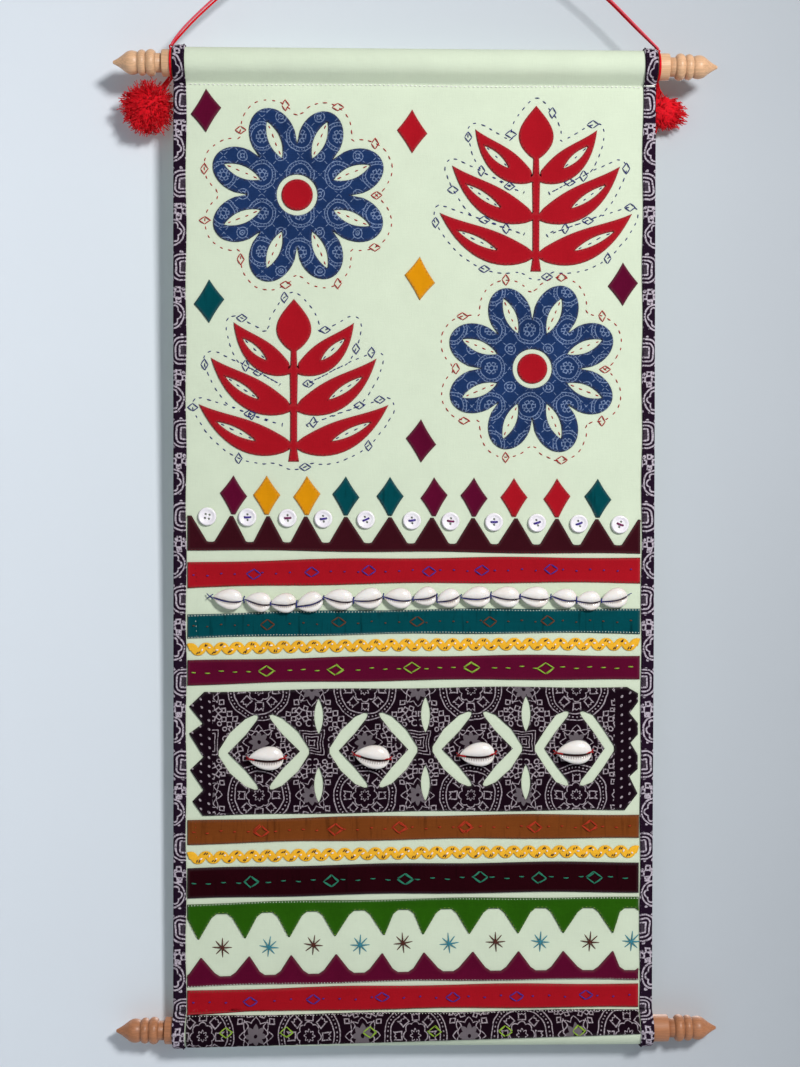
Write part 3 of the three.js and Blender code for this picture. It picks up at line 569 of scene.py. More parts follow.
@dataclass(frozen=True)
class Plaster(Finish):
    """The plain painted ground behind and below the hanging.

    Attributes:
        painted_shade_right: how much painted shade darkens its right end, standing in for the falloff of the
            light.
        painted_shade_top: how much painted shade darkens its top, for the same falloff.
        wide: the width in which it darkens.
        high: the height in which it darkens.
    """

    painted_shade_right: float = 0.0
    painted_shade_top: float = 0.24
    wide: float = 520.0
    high: float = 700.0

    def write(self, graph: Graph, shader: bpy.types.Node) -> None:
        """A flat matt paint with a very faint cloud, and painted shade towards the right and the top that
        stands in for the falloff of the light.
        """
        x, y, z = self.room(graph)
        cloud = graph.cloud((x, y, z), 0.004)
        right, top = (x / self.wide + 0.5).clamp(), (z / self.high + 0.25).clamp()
        # Painted shade: darker towards the right and the top, where the light falls off.
        share = right * self.painted_shade_right + top * self.painted_shade_top + cloud * 0.04
        graph.feed(shader.inputs["Base Color"], graph.mix(share, shade(self.colour), (0, 0, 0, 1)))
        self.settle(shader, {"Roughness": 0.92})


GROUND = Cotton("ground_cotton", (0.660, 0.745, 0.585), mottle=0.07)
RED = Cotton("red_cotton", (0.375, 0.007, 0.015), mottle=0.14)
TEAL = Cotton("teal_cotton", (0.001, 0.062, 0.076), mottle=0.2, pucker_shade=0.45)
PLUM = Cotton("plum_cotton", (0.100, 0.003, 0.024), mottle=0.2)
YELLOW = Cotton("yellow_cotton", (0.70, 0.280, 0.004), mottle=0.12)
MAROON = Cotton("maroon_cotton", (0.040, 0.0045, 0.009), mottle=0.2)
BROWN = Cotton("brown_cotton", (0.190, 0.050, 0.010), mottle=0.22, pucker_shade=0.35)
DARK = Cotton("dark_cotton", (0.019, 0.0012, 0.0035), mottle=0.25, pucker_shade=0.3)
GREEN = Cotton("green_cotton", (0.020, 0.095, 0.003), mottle=0.25)
BRAID = Cotton("yellow_braid", (0.88, 0.46, 0.030), mottle=0.2, pitch=0.8, rough=0.7)
PANEL_PRINT = BlockPrint("panel_print", (0.0085, 0.0025, 0.0065), mottle=0.2, edge=126.5)
STRIP_PRINT = BlockPrint("strip_print", (0.0085, 0.0025, 0.0065), mottle=0.2)
BORDER_PRINT = BlockPrint(
    "border_print", (0.0150, 0.0060, 0.0170), mottle=0.2, ink=(0.56, 0.49, 0.57), kind=PrintKind.BORDER,
    repeat=52.0, line=1.0,
)
INDIGO_PRINT = BlockPrint(
    "indigo_print", (0.012, 0.033, 0.110), mottle=0.45, ink=(0.20, 0.27, 0.43), kind=PrintKind.FINE,
    repeat=24.0, line=0.55,
)
WOODS = {
    "top_rod": Wood("pale_turned_wood", (0.76, 0.45, 0.255)),
    "bottom_rod": Wood("warm_turned_wood", (0.46, 0.185, 0.080)),
}
RED_YARN = Yarn("red_yarn", (0.66, 0.003, 0.012), fuzz=0.5, vary=0.45)
CORD_YARN = Yarn("cord_yarn", (0.72, 0.085, 0.120), fuzz=0.5, vary=0.25)
SHELL = Shell("cowrie_glaze", (0.93, 0.89, 0.86))
PEARL = Pearl("pearl_button", (0.95, 0.94, 0.96))
# The wall's paint carries painted shade, darker towards the right and the top.
WALL_PAINT = Plaster("wall_paint", (0.81, 0.875, 0.955), painted_shade_right=0.44)
FLOOR_PAINT = Plaster("floor_paint", (0.62, 0.64, 0.66))

THREAD_DYES = {
    "white": (0.95, 0.95, 0.92), "pale": (0.72, 0.76, 0.68), "navy": (0.030, 0.034, 0.190),
    "red": (0.42, 0.010, 0.014), "dark_red": (0.17, 0.004, 0.010), "purple": (0.060, 0.030, 0.300),
    "rust": (0.130, 0.045, 0.018), "lime": (0.270, 0.430, 0.045), "orange_red": (0.420, 0.035, 0.012),
    "sea": (0.025, 0.200, 0.125), "teal": (0.045, 0.235, 0.310), "brown": (0.085, 0.022, 0.015),
    "ink": (0.030, 0.010, 0.035), "magenta": (0.210, 0.010, 0.100), "plum": (0.085, 0.004, 0.022),
    "gold": (0.52, 0.20, 0.006), "deep_teal": (0.002, 0.040, 0.055),
}
THREADS = {name: Yarn(f"{name}_thread", colour, fuzz=0.2) for name, colour in THREAD_DYES.items()}
THREADS["pearl"] = Pearl("pearl_speck", (0.95, 0.94, 0.94))


# ---------------------------------------------------------------- meshes


def strip_faces(rings: int, count: int) -> list[list[int]]:
    """Faces of a closed flat strip whose rings run out on one face and back on the other.

    Args:
        rings: how many rings there are.
        count: how many points a ring has.

    Returns:
        The faces' point numbers, both ends closed.
    """
    faces = quads(rings, count, wrap=True)
    for start in (0, count * (rings - 1)):
        last = start + count - 1
        faces += [[start + i, start + i + 1, last - 1 - i, last - i] for i in range(count // 2 - 1)]
    return faces


def stood(name: str, data: bpy.types.ID) -> bpy.types.Object:
    """A new object in the scene, made of a mesh, a light or a camera."""
    made = bpy.data.objects.new(name, data)
    bpy.context.scene.collection.objects.link(made)
    return made


def quads(rows: int, columns: int, wrap: bool = False) -> list[list[int]]:
    """Faces between rows of points.

    Args:
        rows: how many rows there are.
        columns: how many points a row has.
        wrap: whether each row's last point meets its first.

    Returns:
        The faces' point numbers.
    """
    steps = columns if wrap else columns - 1
    r, c = np.meshgrid(np.arange(rows - 1), np.arange(steps), indexing="ij")
    a, b = r * columns + c, r * columns + (c + 1) % columns
    return np.stack([a, b, b + columns, a + columns], axis=-1).reshape(-1, 4).tolist()


def piece(
    name: str,
    points: np.ndarray,
    faces: list[list[int]],
    finish: Finish,
    surface: np.ndarray | None = None,
    marks: dict[str, np.ndarray] | None = None,
) -> bpy.types.Object:
    """Makes a finished mesh object at the origin.

    Args:
        name: the object's name.
        points: its points in millimetres.
        faces: the faces' point numbers.
        finish: its finish.
        surface: each point's place on the cloth, in millimetres, kept as a UV map.
        marks: numbers for each point that the finish reads, by name.

    Returns:
        The object.
    """
    mesh = bpy.data.meshes.new(name)
    mesh.from_pydata((np.asarray(points, float) * MM).tolist(), [], faces)
    if surface is not None:
        ends = np.empty(len(mesh.loops), np.int32)
        mesh.loops.foreach_get("vertex_index", ends)
        layer = mesh.uv_layers.new(name=SURFACE)
        layer.data.foreach_set("uv", (np.asarray(surface)[ends] * MM).astype(np.float32).ravel())
    for mark, values in (marks or {}).items():
        kept = mesh.attributes.new(mark, "FLOAT", "POINT")
        kept.data.foreach_set("value", np.asarray(values, np.float32))
    whole = bmesh.new()
    whole.from_mesh(mesh)
    bmesh.ops.remove_doubles(whole, verts=whole.verts, dist=1e-6)
    bmesh.ops.recalc_face_normals(whole, faces=whole.faces)
    whole.to_mesh(mesh)
    whole.free()
    mesh.shade_smooth()
    mesh.materials.append(finish.material())
    return stood(name, mesh)


def place_piece(made: bpy.types.Object, slot: str, *nodes: str) -> bpy.types.Object:
    """Rides a piece on the hanging and hides the CAD nodes that it stands for."""
    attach(made, BODY)
    if nodes:
        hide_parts(*nodes)
    LOG.info("%s: %d faces", made.name, len(made.data.polygons))
    return made


def centripetal(points: np.ndarray, steps: int) -> np.ndarray:
    """A smooth curve through points, with that many steps between each two.

    Args:
        points: the points of the route.
        steps: how many steps a stretch gets.

    Returns:
        The curve's points.
    """
    first, last = 2 * points[0] - points[1], 2 * points[-1] - points[-2]
    p = np.vstack([first, points, last])
    gaps = np.linalg.norm(np.diff(p, axis=0), axis=1) ** 0.5
    t = (np.arange(steps) / steps)[:, None]
    runs = []
    for i in range(1, len(p) - 2):
        g0, g1, g2 = gaps[i - 1], gaps[i], gaps[i + 1]
        out = (p[i] - p[i - 1]) / g0 - (p[i + 1] - p[i - 1]) / (g0 + g1) + (p[i + 1] - p[i]) / g1
        back = (p[i + 1] - p[i]) / g1 - (p[i + 2] - p[i]) / (g1 + g2) + (p[i + 2] - p[i + 1]) / g2
        d1, d2, rise = out * g1, back * g1, p[i + 1] - p[i]
        runs.append(p[i] + d1 * t + (3 * rise - 2 * d1 - d2) * t ** 2 + (d1 + d2 - 2 * rise) * t ** 3)
    return np.vstack([*runs, p[-2:-1]])


def evenly(path: np.ndarray, step: float) -> np.ndarray:
    """A path's points again, about one step apart."""
    along = np.concatenate([[0], np.cumsum(np.linalg.norm(np.diff(path, axis=0), axis=1))])
    count = max(2, round(along[-1] / step) + 1)
    at = np.linspace(0, along[-1], count)
    return np.stack([np.interp(at, along, axis) for axis in path.T], axis=1)


def path_length(path: np.ndarray) -> float:
    """The length of a path."""
    return float(np.linalg.norm(np.diff(path, axis=0), axis=1).sum())


def unit(rows: np.ndarray) -> np.ndarray:
    """Every row made one long."""
    return rows / np.maximum(np.linalg.norm(rows, axis=1), 1e-9)[:, None]


def leftward(ways: np.ndarray) -> np.ndarray:
    """Flat directions turned a quarter to the left."""
    return np.stack([-ways[:, 1], ways[:, 0]], axis=1)


def tube(path: np.ndarray, radius: Callable[[float, np.ndarray], np.ndarray], sides: int) -> tuple:
    """A closed tube along a path.

    Args:
        path: the points of its middle line.
        radius: gives the radii at a distance along and at the angles of the section.
        sides: how many sides the section has.

    Returns:
        The tube's points and faces.
    """
    ways = unit(np.gradient(path, axis=0))
    side = np.cross(ways[0], [0.0, 1.0, 0.2])
    turns = np.arange(sides) * TURN / sides
    rings, along = [], 0.0
    for i, (point, way) in enumerate(zip(path, ways)):
        along += np.linalg.norm(point - path[i - 1]) if i else 0.0
        side = side - way * side.dot(way)
        side /= np.linalg.norm(side)
        other = np.cross(way, side)
        reach = radius(along, turns)[:, None]
        rings.append(point + reach * (np.cos(turns)[:, None] * side + np.sin(turns)[:, None] * other))
    points = np.vstack(rings)
    faces = quads(len(path), sides, wrap=True)
    faces += [list(range(sides))[::-1], list(range(len(points) - sides, len(points)))]
    return points, faces


def joined(parts: Sequence[tuple]) -> Shape:
    """Several (points, faces) pairs as one."""
    points, faces, start = [], [], 0
    for some, their in parts:
        points.append(some)
        faces += [[index + start for index in face] for face in their]
        start += len(some)
    return np.vstack(points), faces


# ---------------------------------------------------------------- the hanging cloth


@dataclass(frozen=True)
class Crease:
    """A soft trough or ridge in the hanging cloth.

    Attributes:
        start: one end, as x and drop.
        end: the other end.
        width: how wide it is.
        depth: how far it stands back; a ridge has a depth below 0.
    """

    start: tuple[float, float]
    end: tuple[float, float]
    width: float
    depth: float


CREASES = (
    Crease((-120, 30), (-20, 44), 13, -0.32),
    Crease((10, 26), (125, 40), 15, 0.30),
    Crease((4, 60), (-6, 236), 20, 0.34),
    Crease((-140, 150), (-128, 262), 12, -0.26),
    Crease((136, 70), (128, 250), 13, 0.24),
    Crease((-60, 292), (70, 300), 10, 0.16),
    Crease((-130, 332), (-30, 336), 6, -0.18),
    Crease((20, 333), (130, 338), 6, 0.2),
    Crease((-128, 364), (120, 361), 5, 0.2),
    Crease((-120, 494), (-10, 497), 6, -0.22),
    Crease((20, 498), (134, 492), 6, 0.2),
    Crease((-100, 550), (20, 553), 9, -0.3),
    Crease((40, 556), (130, 550), 9, 0.26),
)
SEWN_DROPS = (
    305.6, 325.4, 341.8, 357.2, 371.1, 386.5, 391.2, 469.4, 471.9, 487.0, 502.1, 521.3, 576.8, 594.4,
)       # where patches' edges are sewn


@dataclass
class HangingCloth:
    """Where the cloth hangs: a pocket round each rod, the straight panel, its sway and its creases."""

    rod_radius: float = 8.3
    seam_drop: float = 12.0
    hem: float = 3.0
    hem_back: float = 1.3
    pocket_slack: float = 0.15
    pucker: float = 0.055           # how high the puckers beside a sewn edge stand
    pucker_reach: float = 4.5       # how far from it they fade
    along: np.ndarray = field(init=False, repr=False)
    line: np.ndarray = field(init=False, repr=False)
    outward: np.ndarray = field(init=False, repr=False)

    def __post_init__(self) -> None:
        """Works out the section's line, from the hem behind the top rod to the hem behind the other."""
        self.top_seam = TOP_ROD[2] - self.seam_drop
        self.bottom_seam = BOTTOM_ROD[2] + self.seam_drop
        top, bottom = self.pocket(TOP_ROD[2], 1), self.pocket(BOTTOM_ROD[2], -1)[::-1]
        fine = evenly(np.vstack([top, [[0, self.top_seam], [0, self.bottom_seam]], bottom]), 0.25)
        kernel = np.hanning(11)[1:-1]
        kernel /= kernel.sum()
        padded = np.vstack([np.repeat(fine[:1], 4, 0), fine, np.repeat(fine[-1:], 4, 0)])
        self.line = np.stack([np.convolve(axis, kernel, "valid") for axis in padded.T], axis=1)
        steps = np.linalg.norm(np.diff(self.line, axis=0), axis=1)
        self.along = np.concatenate([[0], np.cumsum(steps)])
        self.outward = -leftward(unit(np.gradient(self.line, axis=0)))
        heights = self.line[:, 1]
        self.front = slice(int(np.argmax(heights)), int(np.argmin(heights)) + 1)

    def pocket(self, centre: float, up: int) -> np.ndarray:
        """The pocket's line round one rod, starting with its hem."""
        radius = self.rod_radius + GAP + SHEET / 2 + self.pocket_slack
        leave = math.acos(radius / self.seam_drop)
        turns = np.linspace(leave, TURN - leave, 60)
        arc = np.stack([radius * np.sin(turns), centre - up * radius * np.cos(turns)], axis=1)
        seam = [self.hem_back, centre - up * self.seam_drop]
        hem = [self.hem_back, centre - up * (self.seam_drop + self.hem)]
        return np.vstack([[hem, seam], arc])

    @property
    def length(self) -> float:
        """The cloth's length along its own line."""
        return float(self.along[-1])

    def station(self, z: np.ndarray | float) -> np.ndarray:
        """How far along the cloth its front lies at a height."""
        return np.interp(-np.asarray(z, float), -self.line[self.front, 1], self.along[self.front])

    def sway(self, x: np.ndarray, v: np.ndarray) -> np.ndarray:
        """How far the panel stands behind its plane; v runs from 0 at the top seam to 1."""
        u = x / CLOTH_HALF
        return np.sin(math.pi * v) * (0.7 * np.sin(2.1 * u + 5.2 * v) + 0.35 * np.cos(4.3 * u - 3.1 * v))

    def relief(self, x: np.ndarray, z: np.ndarray) -> np.ndarray:
        """The creases, and the small puckers beside the sewn edges."""
        deep = np.zeros(np.broadcast(x, z).shape)
        drop = TOP_ROD[2] - z
        for crease in CREASES:
            start, end = np.array(crease.start), np.array(crease.end)
            run = end - start
            t = np.clip(((x - start[0]) * run[0] + (drop - start[1]) * run[1]) / (run @ run), 0, 1)
            away = np.hypot(x - start[0] - t * run[0], drop - start[1] - t * run[1])
            deep += crease.depth * np.exp(-(away / crease.width) ** 2)
        for i, sewn in enumerate(SEWN_DROPS):
            near = np.exp(-np.abs(drop - sewn) / self.pucker_reach)
            wave = np.sin(x / (2.1 + 0.13 * (i % 5)) + 3 * i) * np.sin(x / 13.7 + i) + np.sin(x / 6.3 - 2 * i)
            deep += self.pucker * near * wave
        return deep

    def place(self, x: np.ndarray, s: np.ndarray, off: np.ndarray | float) -> np.ndarray:
        """Points on or over the cloth.

        Args:
            x: how far across.
            s: how far along the cloth's line.
            off: how far outwards from its mid-line.

        Returns:
            The points in millimetres.
        """
        x, s, off = np.broadcast_arrays(np.asarray(x, float), np.asarray(s, float), np.asarray(off, float))
        y, z = (np.interp(s, self.along, axis) for axis in self.line.T)
        ny, nz = (np.interp(s, self.along, axis) for axis in self.outward.T)
        v = (self.top_seam - z) / (self.top_seam - self.bottom_seam)
        fall = self.station(self.top_seam), self.station(self.bottom_seam)
        flat = np.clip(np.minimum(s - fall[0], fall[1] - s) / 8.0, 0, 1)
        bend = (self.sway(x, np.clip(v, 0, 1)) + self.relief(x, z)) * flat
        return np.stack([x, y + bend + ny * off, z + nz * off], axis=-1)

    def facing(self, s: np.ndarray) -> np.ndarray:
        """The outward direction at places along the cloth."""
        ny, nz = (np.interp(s, self.along, axis) for axis in self.outward.T)
        return np.stack([np.zeros_like(ny), ny, nz], axis=-1)

    def rows(self, coarse: float, fine: float) -> np.ndarray:
        """Places along the cloth for rows of points, closer round the rods than in the panel."""
        top, bottom = float(self.station(self.top_seam)), float(self.station(self.bottom_seam))
        first = np.arange(0, top + 6, fine)
        last = np.arange(bottom - 6, self.length, fine)
        between = np.linspace(first[-1], last[0], round((last[0] - first[-1]) / coarse) + 1)[1:-1]
        return np.concatenate([first, between, last, [self.length]])


CLOTH = HangingCloth()


def askew(x: np.ndarray | float) -> np.ndarray | float:
    """How much higher sewn work sits at x than on the middle line."""
    u = x / BAND_HALF
    return 1.7 * u - 1.4 * u * u


def below(x: float, drop: float) -> tuple[float, float]:
    """A flat point across at x and that far down, as sewn bands hang."""
    return x, float(CLOTH.station(TOP_ROD[2] - drop + askew(x)))


def level(x: float, drop: float) -> tuple[float, float]:
    """The same for the row of diamonds and buttons, which hangs almost level."""
    return x, float(CLOTH.station(TOP_ROD[2] - drop - 0.007 * x))


def plain(x: float, drop: float) -> tuple[float, float]:
    """The same for the upper field, which hangs straight."""
    return x, float(CLOTH.station(TOP_ROD[2] - drop))


# ---------------------------------------------------------------- flat work


def stepped(loop: np.ndarray, step: float) -> np.ndarray:
    """A closed outline with its corners kept and its sides cut into steps."""
    runs = []
    for a, b in zip(loop, np.roll(loop, -1, axis=0)):
        count = max(1, math.ceil(np.linalg.norm(b - a) / step))
        runs.append(a + (b - a) * (np.arange(count) / count)[:, None])
    return np.concatenate(runs)


def edge_distance(points: np.ndarray, loops: Sequence[np.ndarray]) -> np.ndarray:
    """How far points are from the nearest edge."""
    best = np.full(len(points), np.inf)
    for loop in loops:
        run = np.roll(loop, -1, axis=0) - loop
        size = np.maximum((run ** 2).sum(axis=1), 1e-12)
        away = points[:, None] - loop
        t = np.clip((away * run).sum(axis=2) / size, 0, 1)
        best = np.minimum(best, np.linalg.norm(away - t[..., None] * run, axis=2).min(axis=1))
    return best


def inside(points: np.ndarray, loops: Sequence[np.ndarray]) -> np.ndarray:
    """Which points lie in the cloth: within the outline and outside its holes."""
    held = np.zeros(len(points), bool)
    x, y = points[:, :1], points[:, 1:]
    for loop in loops:
        a, b = loop, np.roll(loop, -1, axis=0)
        spans = (a[:, 1] > y) != (b[:, 1] > y)
        rise = np.where(b[:, 1] == a[:, 1], 1e-12, b[:, 1] - a[:, 1])
        cross = x < (b[:, 0] - a[:, 0]) * (y - a[:, 1]) / rise + a[:, 0]
        held ^= (spans & cross).sum(axis=1) % 2 == 1
    return held


def across(loop: np.ndarray) -> np.ndarray:
    """The direction square to a closed line at each of its points."""
    return leftward(unit(np.roll(loop, -1, axis=0) - np.roll(loop, 1, axis=0)))


def inset(loops: Sequence[np.ndarray], loop: np.ndarray, distance: float) -> np.ndarray:
    """One edge of an outline, moved into the cloth by a distance, without the points that crowd."""
    side = across(loop)
    sign = 1 if inside(loop + side * 0.2, loops).mean() > 0.5 else -1
    moved = loop + side * distance * sign
    keep = inside(moved, loops) & (edge_distance(moved, loops) > 0.85 * distance)
    return moved[keep]


def filled_outline(loops: Sequence[np.ndarray], insets: Sequence[float], spacing: float) -> tuple:
    """Triangles that fill an outline.

    Args:
        loops: the outer edge and then its holes, already cut into steps.
        insets: distances from the edge at which rows of points follow it.
        spacing: the distance between the points in the middle.

    Returns:
        The points, the triangles and each point's distance from the edge.
    """
    edges, start, coords = [], 0, []
    for loop in loops:
        count = len(loop)
        edges += [(start + i, start + (i + 1) % count) for i in range(count)]
        start += count
        coords.append(loop)
    for distance in insets:
        coords += [inset(loops, loop, distance) for loop in loops]
    low, high = loops[0].min(axis=0), loops[0].max(axis=0)
    rows = np.arange(low[1] + spacing / 2, high[1], spacing * 0.87)
    grid = [
        np.stack([np.arange(low[0] + spacing * (0.5 if i % 2 else 1.0), high[0], spacing)] * 2, axis=1)
        * [1, 0] + [0, row]
        for i, row in enumerate(rows)
    ]
    between = np.concatenate(grid)
    between = between[inside(between, loops)]
    clear = max(insets, default=0.0) + spacing * 0.45
    coords.append(between[edge_distance(between, loops) > clear])
    flat = np.concatenate(coords)
    found = delaunay_2d_cdt([Vector(p) for p in flat], edges, [], 0, 1e-6)
    points = np.array([tuple(v) for v in found[0]])
    triangles = np.array([list(face) for face in found[2] if len(face) == 3])
    keep = inside(points[triangles].mean(axis=1), loops)
    away = edge_distance(points, loops)
    return points, triangles[keep], np.where(away < 1e-3, 0.0, away)


@dataclass
class Applique:
    """A patch of cloth with turned edges, sewn flat on the hanging.

    Attributes:
        name: the piece's name.
        loops: its outline and holes, in flat coordinates.
        finish: its cloth.
        body: its thickness in the middle.
        rim: its thickness over the turned edge.
        pucker: how much its edge is drawn in by the stitches.
        spacing: the distance between points in its middle.
        fold: how wide its rounded edge is.
        hem: how wide the turned edge under it is, and how soon the step beside that levels out.
        edge_step: the distance between points of its edge.
        under: the distance between points of its underside.
    """

    name: str
    loops: list[np.ndarray]
    finish: Finish
    body: float = 0.62
    rim: float = 1.0
    pucker: float = 0.13
    spacing: float = 3.6
    fold: float = 0.75
    hem: tuple[float, float] = (2.2, 1.5)
    edge_step: float = 1.3
    under: float = 6.0

    def __post_init__(self) -> None:
        """Cuts the outline into steps."""
        self.loops = [stepped(np.asarray(loop, float), self.edge_step) for loop in self.loops]

    def height(self, flat: np.ndarray, away: np.ndarray) -> np.ndarray:
        """How thick the patch stands at flat points, given their distance from the edge."""
        turn = np.sqrt(1 - (1 - np.clip(away / self.fold, 0, 1)) ** 2)
        wide, soft = self.hem
        thick = self.body + (self.rim - self.body) * np.exp(-(np.maximum(away - wide, 0) / soft) ** 2)
        wave = np.sin(flat[:, 0] / 1.7 + flat[:, 1] / 5.1) * np.sin(flat[:, 1] / 1.9 - flat[:, 0] / 4.3)
        return (thick + self.pucker * wave * np.exp(-away / 2.6)) * turn

    def build(self) -> bpy.types.Object:
        """The patch as a closed sheet on the cloth."""
        flat, triangles, away = filled_outline(self.loops, (0.3, 0.85, 2.0, 4.0), self.spacing)
        under, under_triangles, _ = filled_outline(self.loops, (), self.under)
        thick = self.height(flat, away)
        front = CLOTH.place(flat[:, 0], flat[:, 1], NEAR + thick)
        back = CLOTH.place(under[:, 0], under[:, 1], NEAR)
        points = np.vstack([front, back])
        faces = triangles.tolist() + (under_triangles[:, ::-1] + len(front)).tolist()
        rims = np.concatenate([np.exp(-(away / 0.8) ** 2), np.zeros(len(under))])
        return piece(self.name, points, faces, self.finish, np.vstack([flat, under]), {"rim": rims})

    def flat_area(self) -> float:
        """The patch's flat area in square metres."""
        total = 0.0
        for i, loop in enumerate(self.loops):
            x, y = loop.T
            area = abs(np.dot(x, np.roll(y, -1)) - np.dot(y, np.roll(x, -1))) / 2
            total += area if i == 0 else -area
        return total * MM * MM

    def sew(self, slot: str, *nodes: str) -> bpy.types.Object:
        """Builds the patch and puts it on the hanging."""
        made = place_piece(self.build(), slot, *nodes)
        low, high = self.loops[0].min(axis=0), self.loops[0].max(axis=0)
        width, height = (high - low) * MM
        self.flat_area()
        return made


# ---------------------------------------------------------------- repeated work, by geometry nodes


class Grower:
    """A geometry node tree with named inputs, and the way to run it over a base mesh."""

    def __init__(self, name: str, numbers: Sequence[str], vectors: Sequence[str] = ()) -> None:
        """Starts the tree; a seed and a material are always among its inputs.

        Args:
            name: the tree's name.
            numbers: the names of the inputs that are numbers.
            vectors: the names of those that are vectors.
        """
        self.tree = bpy.data.node_groups.new(name, "GeometryNodeTree")
        face = self.tree.interface
        kinds = dict.fromkeys(numbers, "Float") | dict.fromkeys(vectors, "Vector")
        fixed = {"Geometry": "Geometry", "Seed": "Int", "Material": "Material"}
        for title, kind in (fixed | kinds).items():
            face.new_socket(title, in_out="INPUT", socket_type=f"NodeSocket{kind}")
        face.new_socket("Geometry", in_out="OUTPUT", socket_type="NodeSocketGeometry")
        self.graph = Graph(self.tree)
        self.given = self.graph.node("NodeGroupInput").outputs

    def num(self, title: str) -> Num:
        """A named input as a number."""
        return self.graph.num(self.given[title])

    def chance(self, low: float, high: float, extra: int = 0) -> Num:
        """A seeded random number for each element."""
        seed = self.num("Seed") + extra
        node = self.graph.node("FunctionNodeRandomValue", {2: low, 3: high, "Seed": seed}, data_type="FLOAT")
        return self.graph.num(node.outputs[1])

    def scatter(self, size: object, extra: int = 0) -> Socket:
        """A seeded random vector of that size for each element."""
        limits = {0: (-1, -1, -1), 1: (1, 1, 1), "Seed": self.num("Seed") + extra}
        node = self.graph.node("FunctionNodeRandomValue", limits, data_type="FLOAT_VECTOR")
        return self.graph.scaled(node, size)

    def arch(self) -> tuple[Num, Num]:
        """How far along its curve each point is, from 0 to 1, and the height of a low arch over it."""
        t = self.graph.num(self.graph.node("GeometryNodeSplineParameter").outputs["Factor"])
        return t, t * (1.0 - t) * 4.0

    def vectors(self, operation: str, first: object, second: object) -> Socket:
        """Two vectors added, subtracted or otherwise joined."""
        return self.graph.node("ShaderNodeVectorMath", {0: first, 1: second}, operation=operation).outputs[0]

    def facing(self) -> Socket:
        """The outward direction kept on the base mesh."""
        node = self.graph.node("GeometryNodeInputNamedAttribute", {"Name": "out"}, data_type="FLOAT_VECTOR")
        return node.outputs["Attribute"]

    def round_bar(self, curve: object, radius: object, sides: int) -> Socket:
        """A curve made solid with a round section; radius is read at each point."""
        ring = self.graph.node("GeometryNodeCurvePrimitiveCircle", {"Resolution": sides, "Radius": 1.0})
        sized = self.graph.node("GeometryNodeSetCurveRadius", {"Curve": curve, "Radius": radius})
        parts = {"Curve": sized, "Profile Curve": ring, "Fill Caps": True}
        made = self.graph.node("GeometryNodeCurveToMesh", parts)
        if "Scale" in made.inputs:
            width = self.graph.node("GeometryNodeInputRadius").outputs[0]
            self.graph.feed(made.inputs["Scale"], width)
        return made.outputs[0]

    def end(self, geometry: object) -> None:
        """Realizes what was made, gives it its material and closes the tree."""
        real = self.graph.node("GeometryNodeRealizeInstances", {"Geometry": geometry})
        smooth = self.graph.node("GeometryNodeSetShadeSmooth", {0: real})
        worn = {"Geometry": smooth, "Material": self.given["Material"]}
        self.graph.node("NodeGroupOutput", {0: self.graph.node("GeometryNodeSetMaterial", worn)})

    def grow(self, name: str, base: bpy.types.Object, finish: Finish, values: dict) -> bpy.types.Object:
        """Runs the tree over a base mesh and keeps the result as a plain mesh.

        Args:
            name: the finished piece's name.
            base: the object that carries the paths or points; it is removed.
            finish: the piece's finish.
            values: the inputs, by name.

        Returns:
            The finished object.
        """
        modifier = base.modifiers.new("Grow", "NODES")
        modifier.node_group = self.tree
        asked = {**values, "Material": finish.material()}
        for item in self.tree.interface.items_tree:
            if item.item_type == "SOCKET" and item.in_out == "INPUT" and item.name in asked:
                modifier[item.identifier] = asked[item.name]
        seen = base.evaluated_get(bpy.context.evaluated_depsgraph_get())
        mesh = bpy.data.meshes.new_from_object(seen)
        mesh.name = name
        bpy.data.objects.remove(base)
        return stood(name, mesh)


def run_tree() -> Grower:
    """Stitches of even length along paths, each a low arch of thread."""
    grower = Grower("Stitches along a path", ("Pitch", "Share", "Thread", "Rise", "Wander"))
    graph, thread = grower.graph, grower.num("Thread")
    curve = graph.node("GeometryNodeMeshToCurve", {0: grower.given["Geometry"]})
    places = {"Curve": curve, "Length": grower.given["Pitch"]}
    even = graph.node("GeometryNodeResampleCurve", places, mode="LENGTH")
    strewn = {"Geometry": even, "Offset": grower.scatter(grower.num("Wander"))}
    loose = graph.node("GeometryNodeSetPosition", strewn)
    tangent = graph.node("GeometryNodeInputTangent").outputs[0]
    bent = grower.vectors("ADD", tangent, grower.scatter(grower.num("Wander") * 260.0, 7))
    first = graph.node("FunctionNodeAlignRotationToVector", {"Vector": bent}, axis="X")
    faced = {"Rotation": first, "Vector": grower.facing()}
    turned = graph.node("FunctionNodeAlignRotationToVector", faced, axis="Z", pivot_axis="X")
    line = graph.node("GeometryNodeCurvePrimitiveLine", {"Start": (-0.5, 0, 0), "End": (0.5, 0, 0)})
    cut = graph.node("GeometryNodeResampleCurve", {"Curve": line, "Count": 4}, mode="COUNT")
    _, bow = grower.arch()
    lift = graph.combine(0.0, 0.0, bow * (grower.num("Rise") + thread) - thread * 0.55)
    arched = graph.node("GeometryNodeSetPosition", {"Geometry": cut, "Offset": lift})
    bar = grower.round_bar(arched, thread * (bow * 0.25 + 0.3), 4)
    reach = grower.num("Pitch") * grower.num("Share") * grower.chance(0.86, 1.1, 3)
    sewn = {"Points": loose, "Instance": bar, "Rotation": turned, "Scale": graph.combine(reach, 1.0, 1.0)}
    grower.end(graph.node("GeometryNodeInstanceOnPoints", sewn))
    return grower


